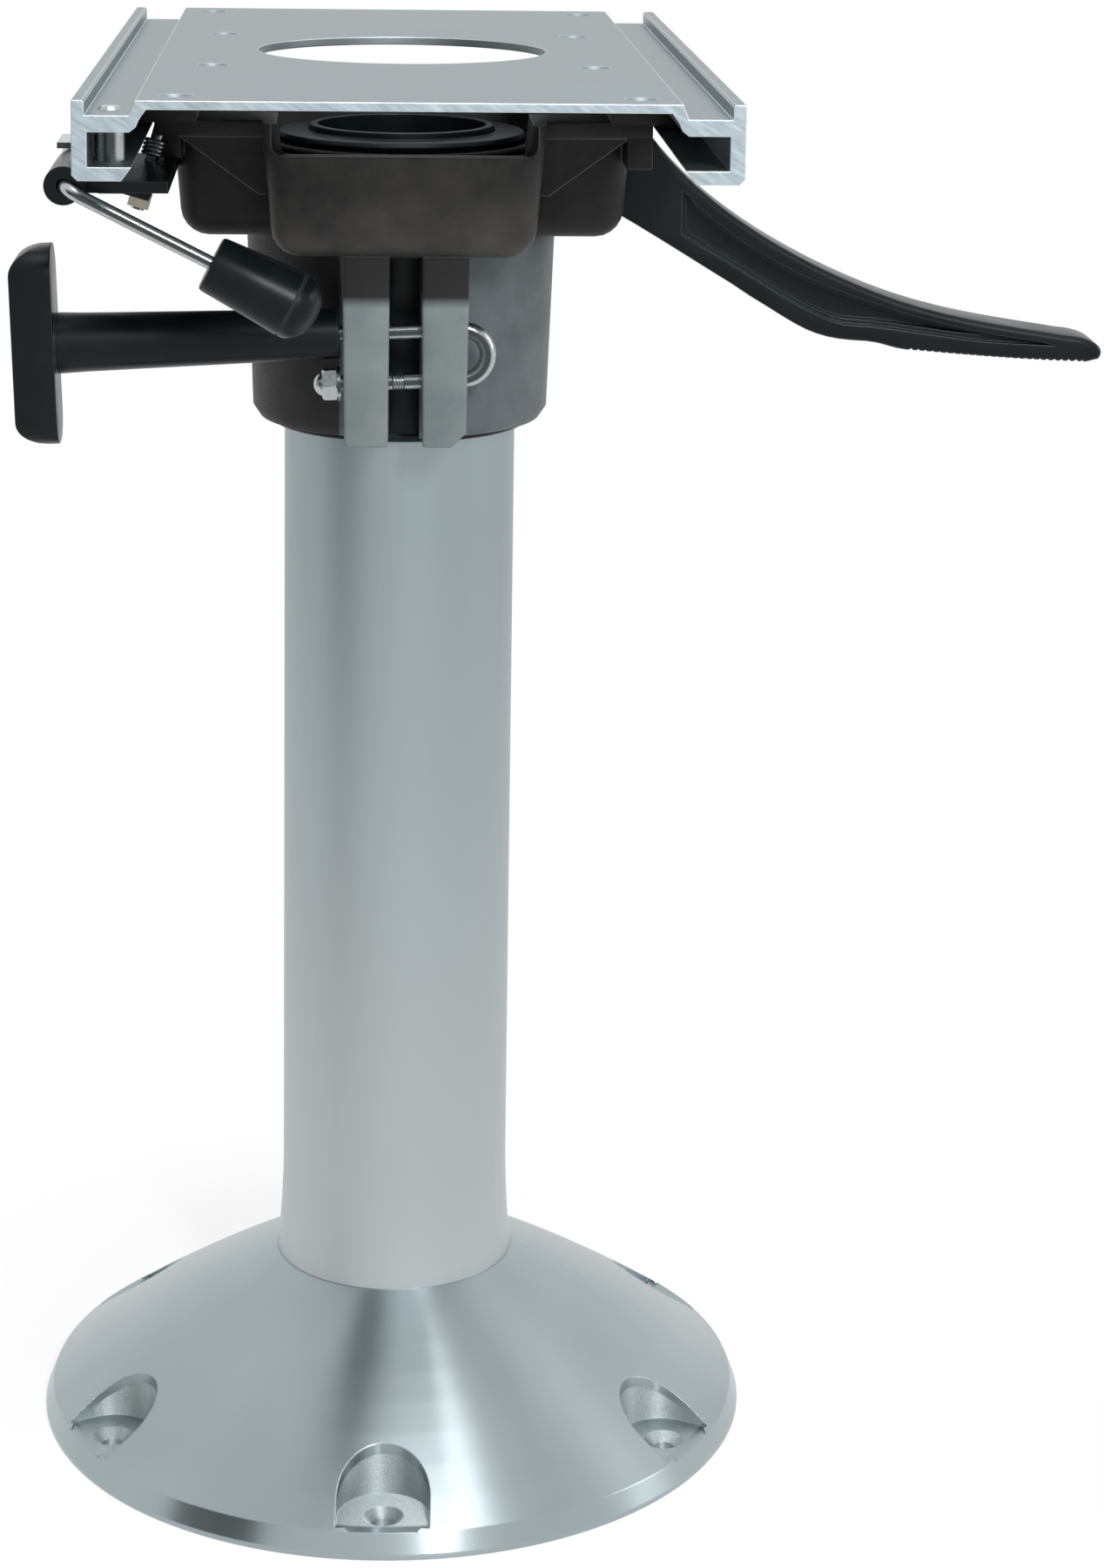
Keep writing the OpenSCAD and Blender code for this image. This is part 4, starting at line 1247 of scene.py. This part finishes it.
def seen_directly(tree: bpy.types.NodeTree) -> bpy.types.NodeSocket:
    """Factor of 1 for camera, glossy and transmission rays, so that metal shows the same white as the eye.

    Args:
        tree: node tree that gets the nodes.

    Returns:
        The factor socket.
    """
    path = add_node(tree, "LightPath").outputs
    first = add_node(tree, "Math", {0: path["Is Camera Ray"], 1: path["Is Glossy Ray"]}, operation="MAXIMUM").outputs[0]
    return add_node(tree, "Math", {0: first, 1: path["Is Transmission Ray"]}, operation="MAXIMUM").outputs[0]


@dataclass
class Studio:
    """White sweep with softboxes."""

    boxes: tuple[Softbox, ...] = (
        Softbox("key", (0.48, -1.78, 1.35), (0.0, 0.0, 0.25), (0.18, 0.5), 20.0),
        Softbox("side", (1.9, -0.1, 0.9), (0.0, 0.0, 0.2), (0.5, 0.9), 6.0),
        Softbox("top", (0.2, -0.5, 2.1), (0.0, 0.0, 0.4), (1.0, 1.0), 12.0),
    )

    def world(self) -> None:
        """White to the camera, softly graded grey to everything else."""
        world = bpy.data.worlds.new("studio")
        bpy.context.scene.world = world
        world.use_nodes = True
        tree = world.node_tree
        tree.nodes.clear()
        coords = add_node(tree, "TexCoord").outputs["Generated"]
        parts = add_node(tree, "SeparateXYZ", {"Vector": coords})
        level = add_node(tree, "MapRange", {0: parts.outputs[0], 1: -0.8, 2: 0.9, 3: 0.04, 4: 0.4}).outputs[0]
        room = add_node(tree, "Background", {"Strength": level})
        white = add_node(tree, "Background", {"Color": (1, 1, 1, 1), "Strength": 1.0})
        choice = add_node(tree, "MixShader", {0: seen_directly(tree), 1: room.outputs[0], 2: white.outputs[0]})
        add_node(tree, "OutputWorld", {"Surface": choice.outputs[0]})

    def floor(self) -> None:
        """A pale floor that keeps the shadow."""
        bpy.ops.mesh.primitive_plane_add(size=12)
        plane = bpy.context.object
        plane.name = "floor"
        material = bpy.data.materials.new("floor_paper")
        material.use_nodes = True
        tree = material.node_tree
        tree.nodes.clear()
        paper = add_node(tree, "BsdfDiffuse", {"Color": (0.86, 0.86, 0.86, 1)})
        veil = add_node(tree, "BsdfDiffuse", {"Color": (0.3, 0.3, 0.3, 1)})
        glow = add_node(tree, "Emission", {"Color": (1, 1, 1, 1), "Strength": 0.84})
        near = add_node(tree, "AddShader", {0: veil.outputs[0], 1: glow.outputs[0]})
        white = add_node(tree, "Emission", {"Color": (1, 1, 1, 1), "Strength": 1.0})
        coords = add_node(tree, "TexCoord").outputs["Object"]
        far = add_node(tree, "VectorMath", {0: coords}, operation="LENGTH").outputs["Value"]
        fade = add_node(tree, "MapRange", {0: far, 1: 0.13, 2: 0.24}, interpolation_type="SMOOTHSTEP").outputs[0]
        seen = add_node(tree, "MixShader", {0: fade, 1: near.outputs[0], 2: white.outputs[0]})
        choice = add_node(tree, "MixShader", {0: seen_directly(tree), 1: paper.outputs[0], 2: seen.outputs[0]})
        add_node(tree, "OutputMaterial", {"Surface": choice.outputs[0]})
        plane.data.materials.append(material)

    def flag(self) -> None:
        """A black card to the left of the camera, which darkens the left edges of the metal."""
        bpy.ops.mesh.primitive_plane_add(size=1, location=(-1.1, -0.75, 0.4), rotation=(math.radians(90), 0, math.radians(-60)))
        card = bpy.context.object
        card.name = "black_flag"
        card.scale = (0.7, 1.2, 1)
        material = bpy.data.materials.new("flag_felt")
        material.use_nodes = True
        tree = material.node_tree
        tree.nodes.clear()
        felt = add_node(tree, "BsdfDiffuse", {"Color": (0.01, 0.01, 0.01, 1)})
        add_node(tree, "OutputMaterial", {"Surface": felt.outputs[0]})
        card.data.materials.append(material)
        card.visible_camera = False
        card.visible_shadow = False

    def build(self) -> None:
        """Builds world, floor, flag and lights."""
        self.world()
        self.floor()
        self.flag()
        for box in self.boxes:
            box.build()
        bpy.context.scene.view_settings.view_transform = "Standard"


def main() -> None:
    """Builds the whole scene."""
    logging.basicConfig(level=logging.INFO)
    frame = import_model()
    palette = Palette()
    slots = {s["node"]: s["material_slot"] for s in frame["record"]["subparts"]}
    FrameLooks(palette, slots).apply(frame["nodes"])
    for assembly in (CollarBushing(), Bracket(), SwivelLever(), TeeHandle(), LockLever(), ClampBolt(), Springs()):
        assembly.build(palette)
    Studio().build()
    CameraFit().build()
    bpy.context.view_layer.update()


if __name__ == "__main__":
    main()
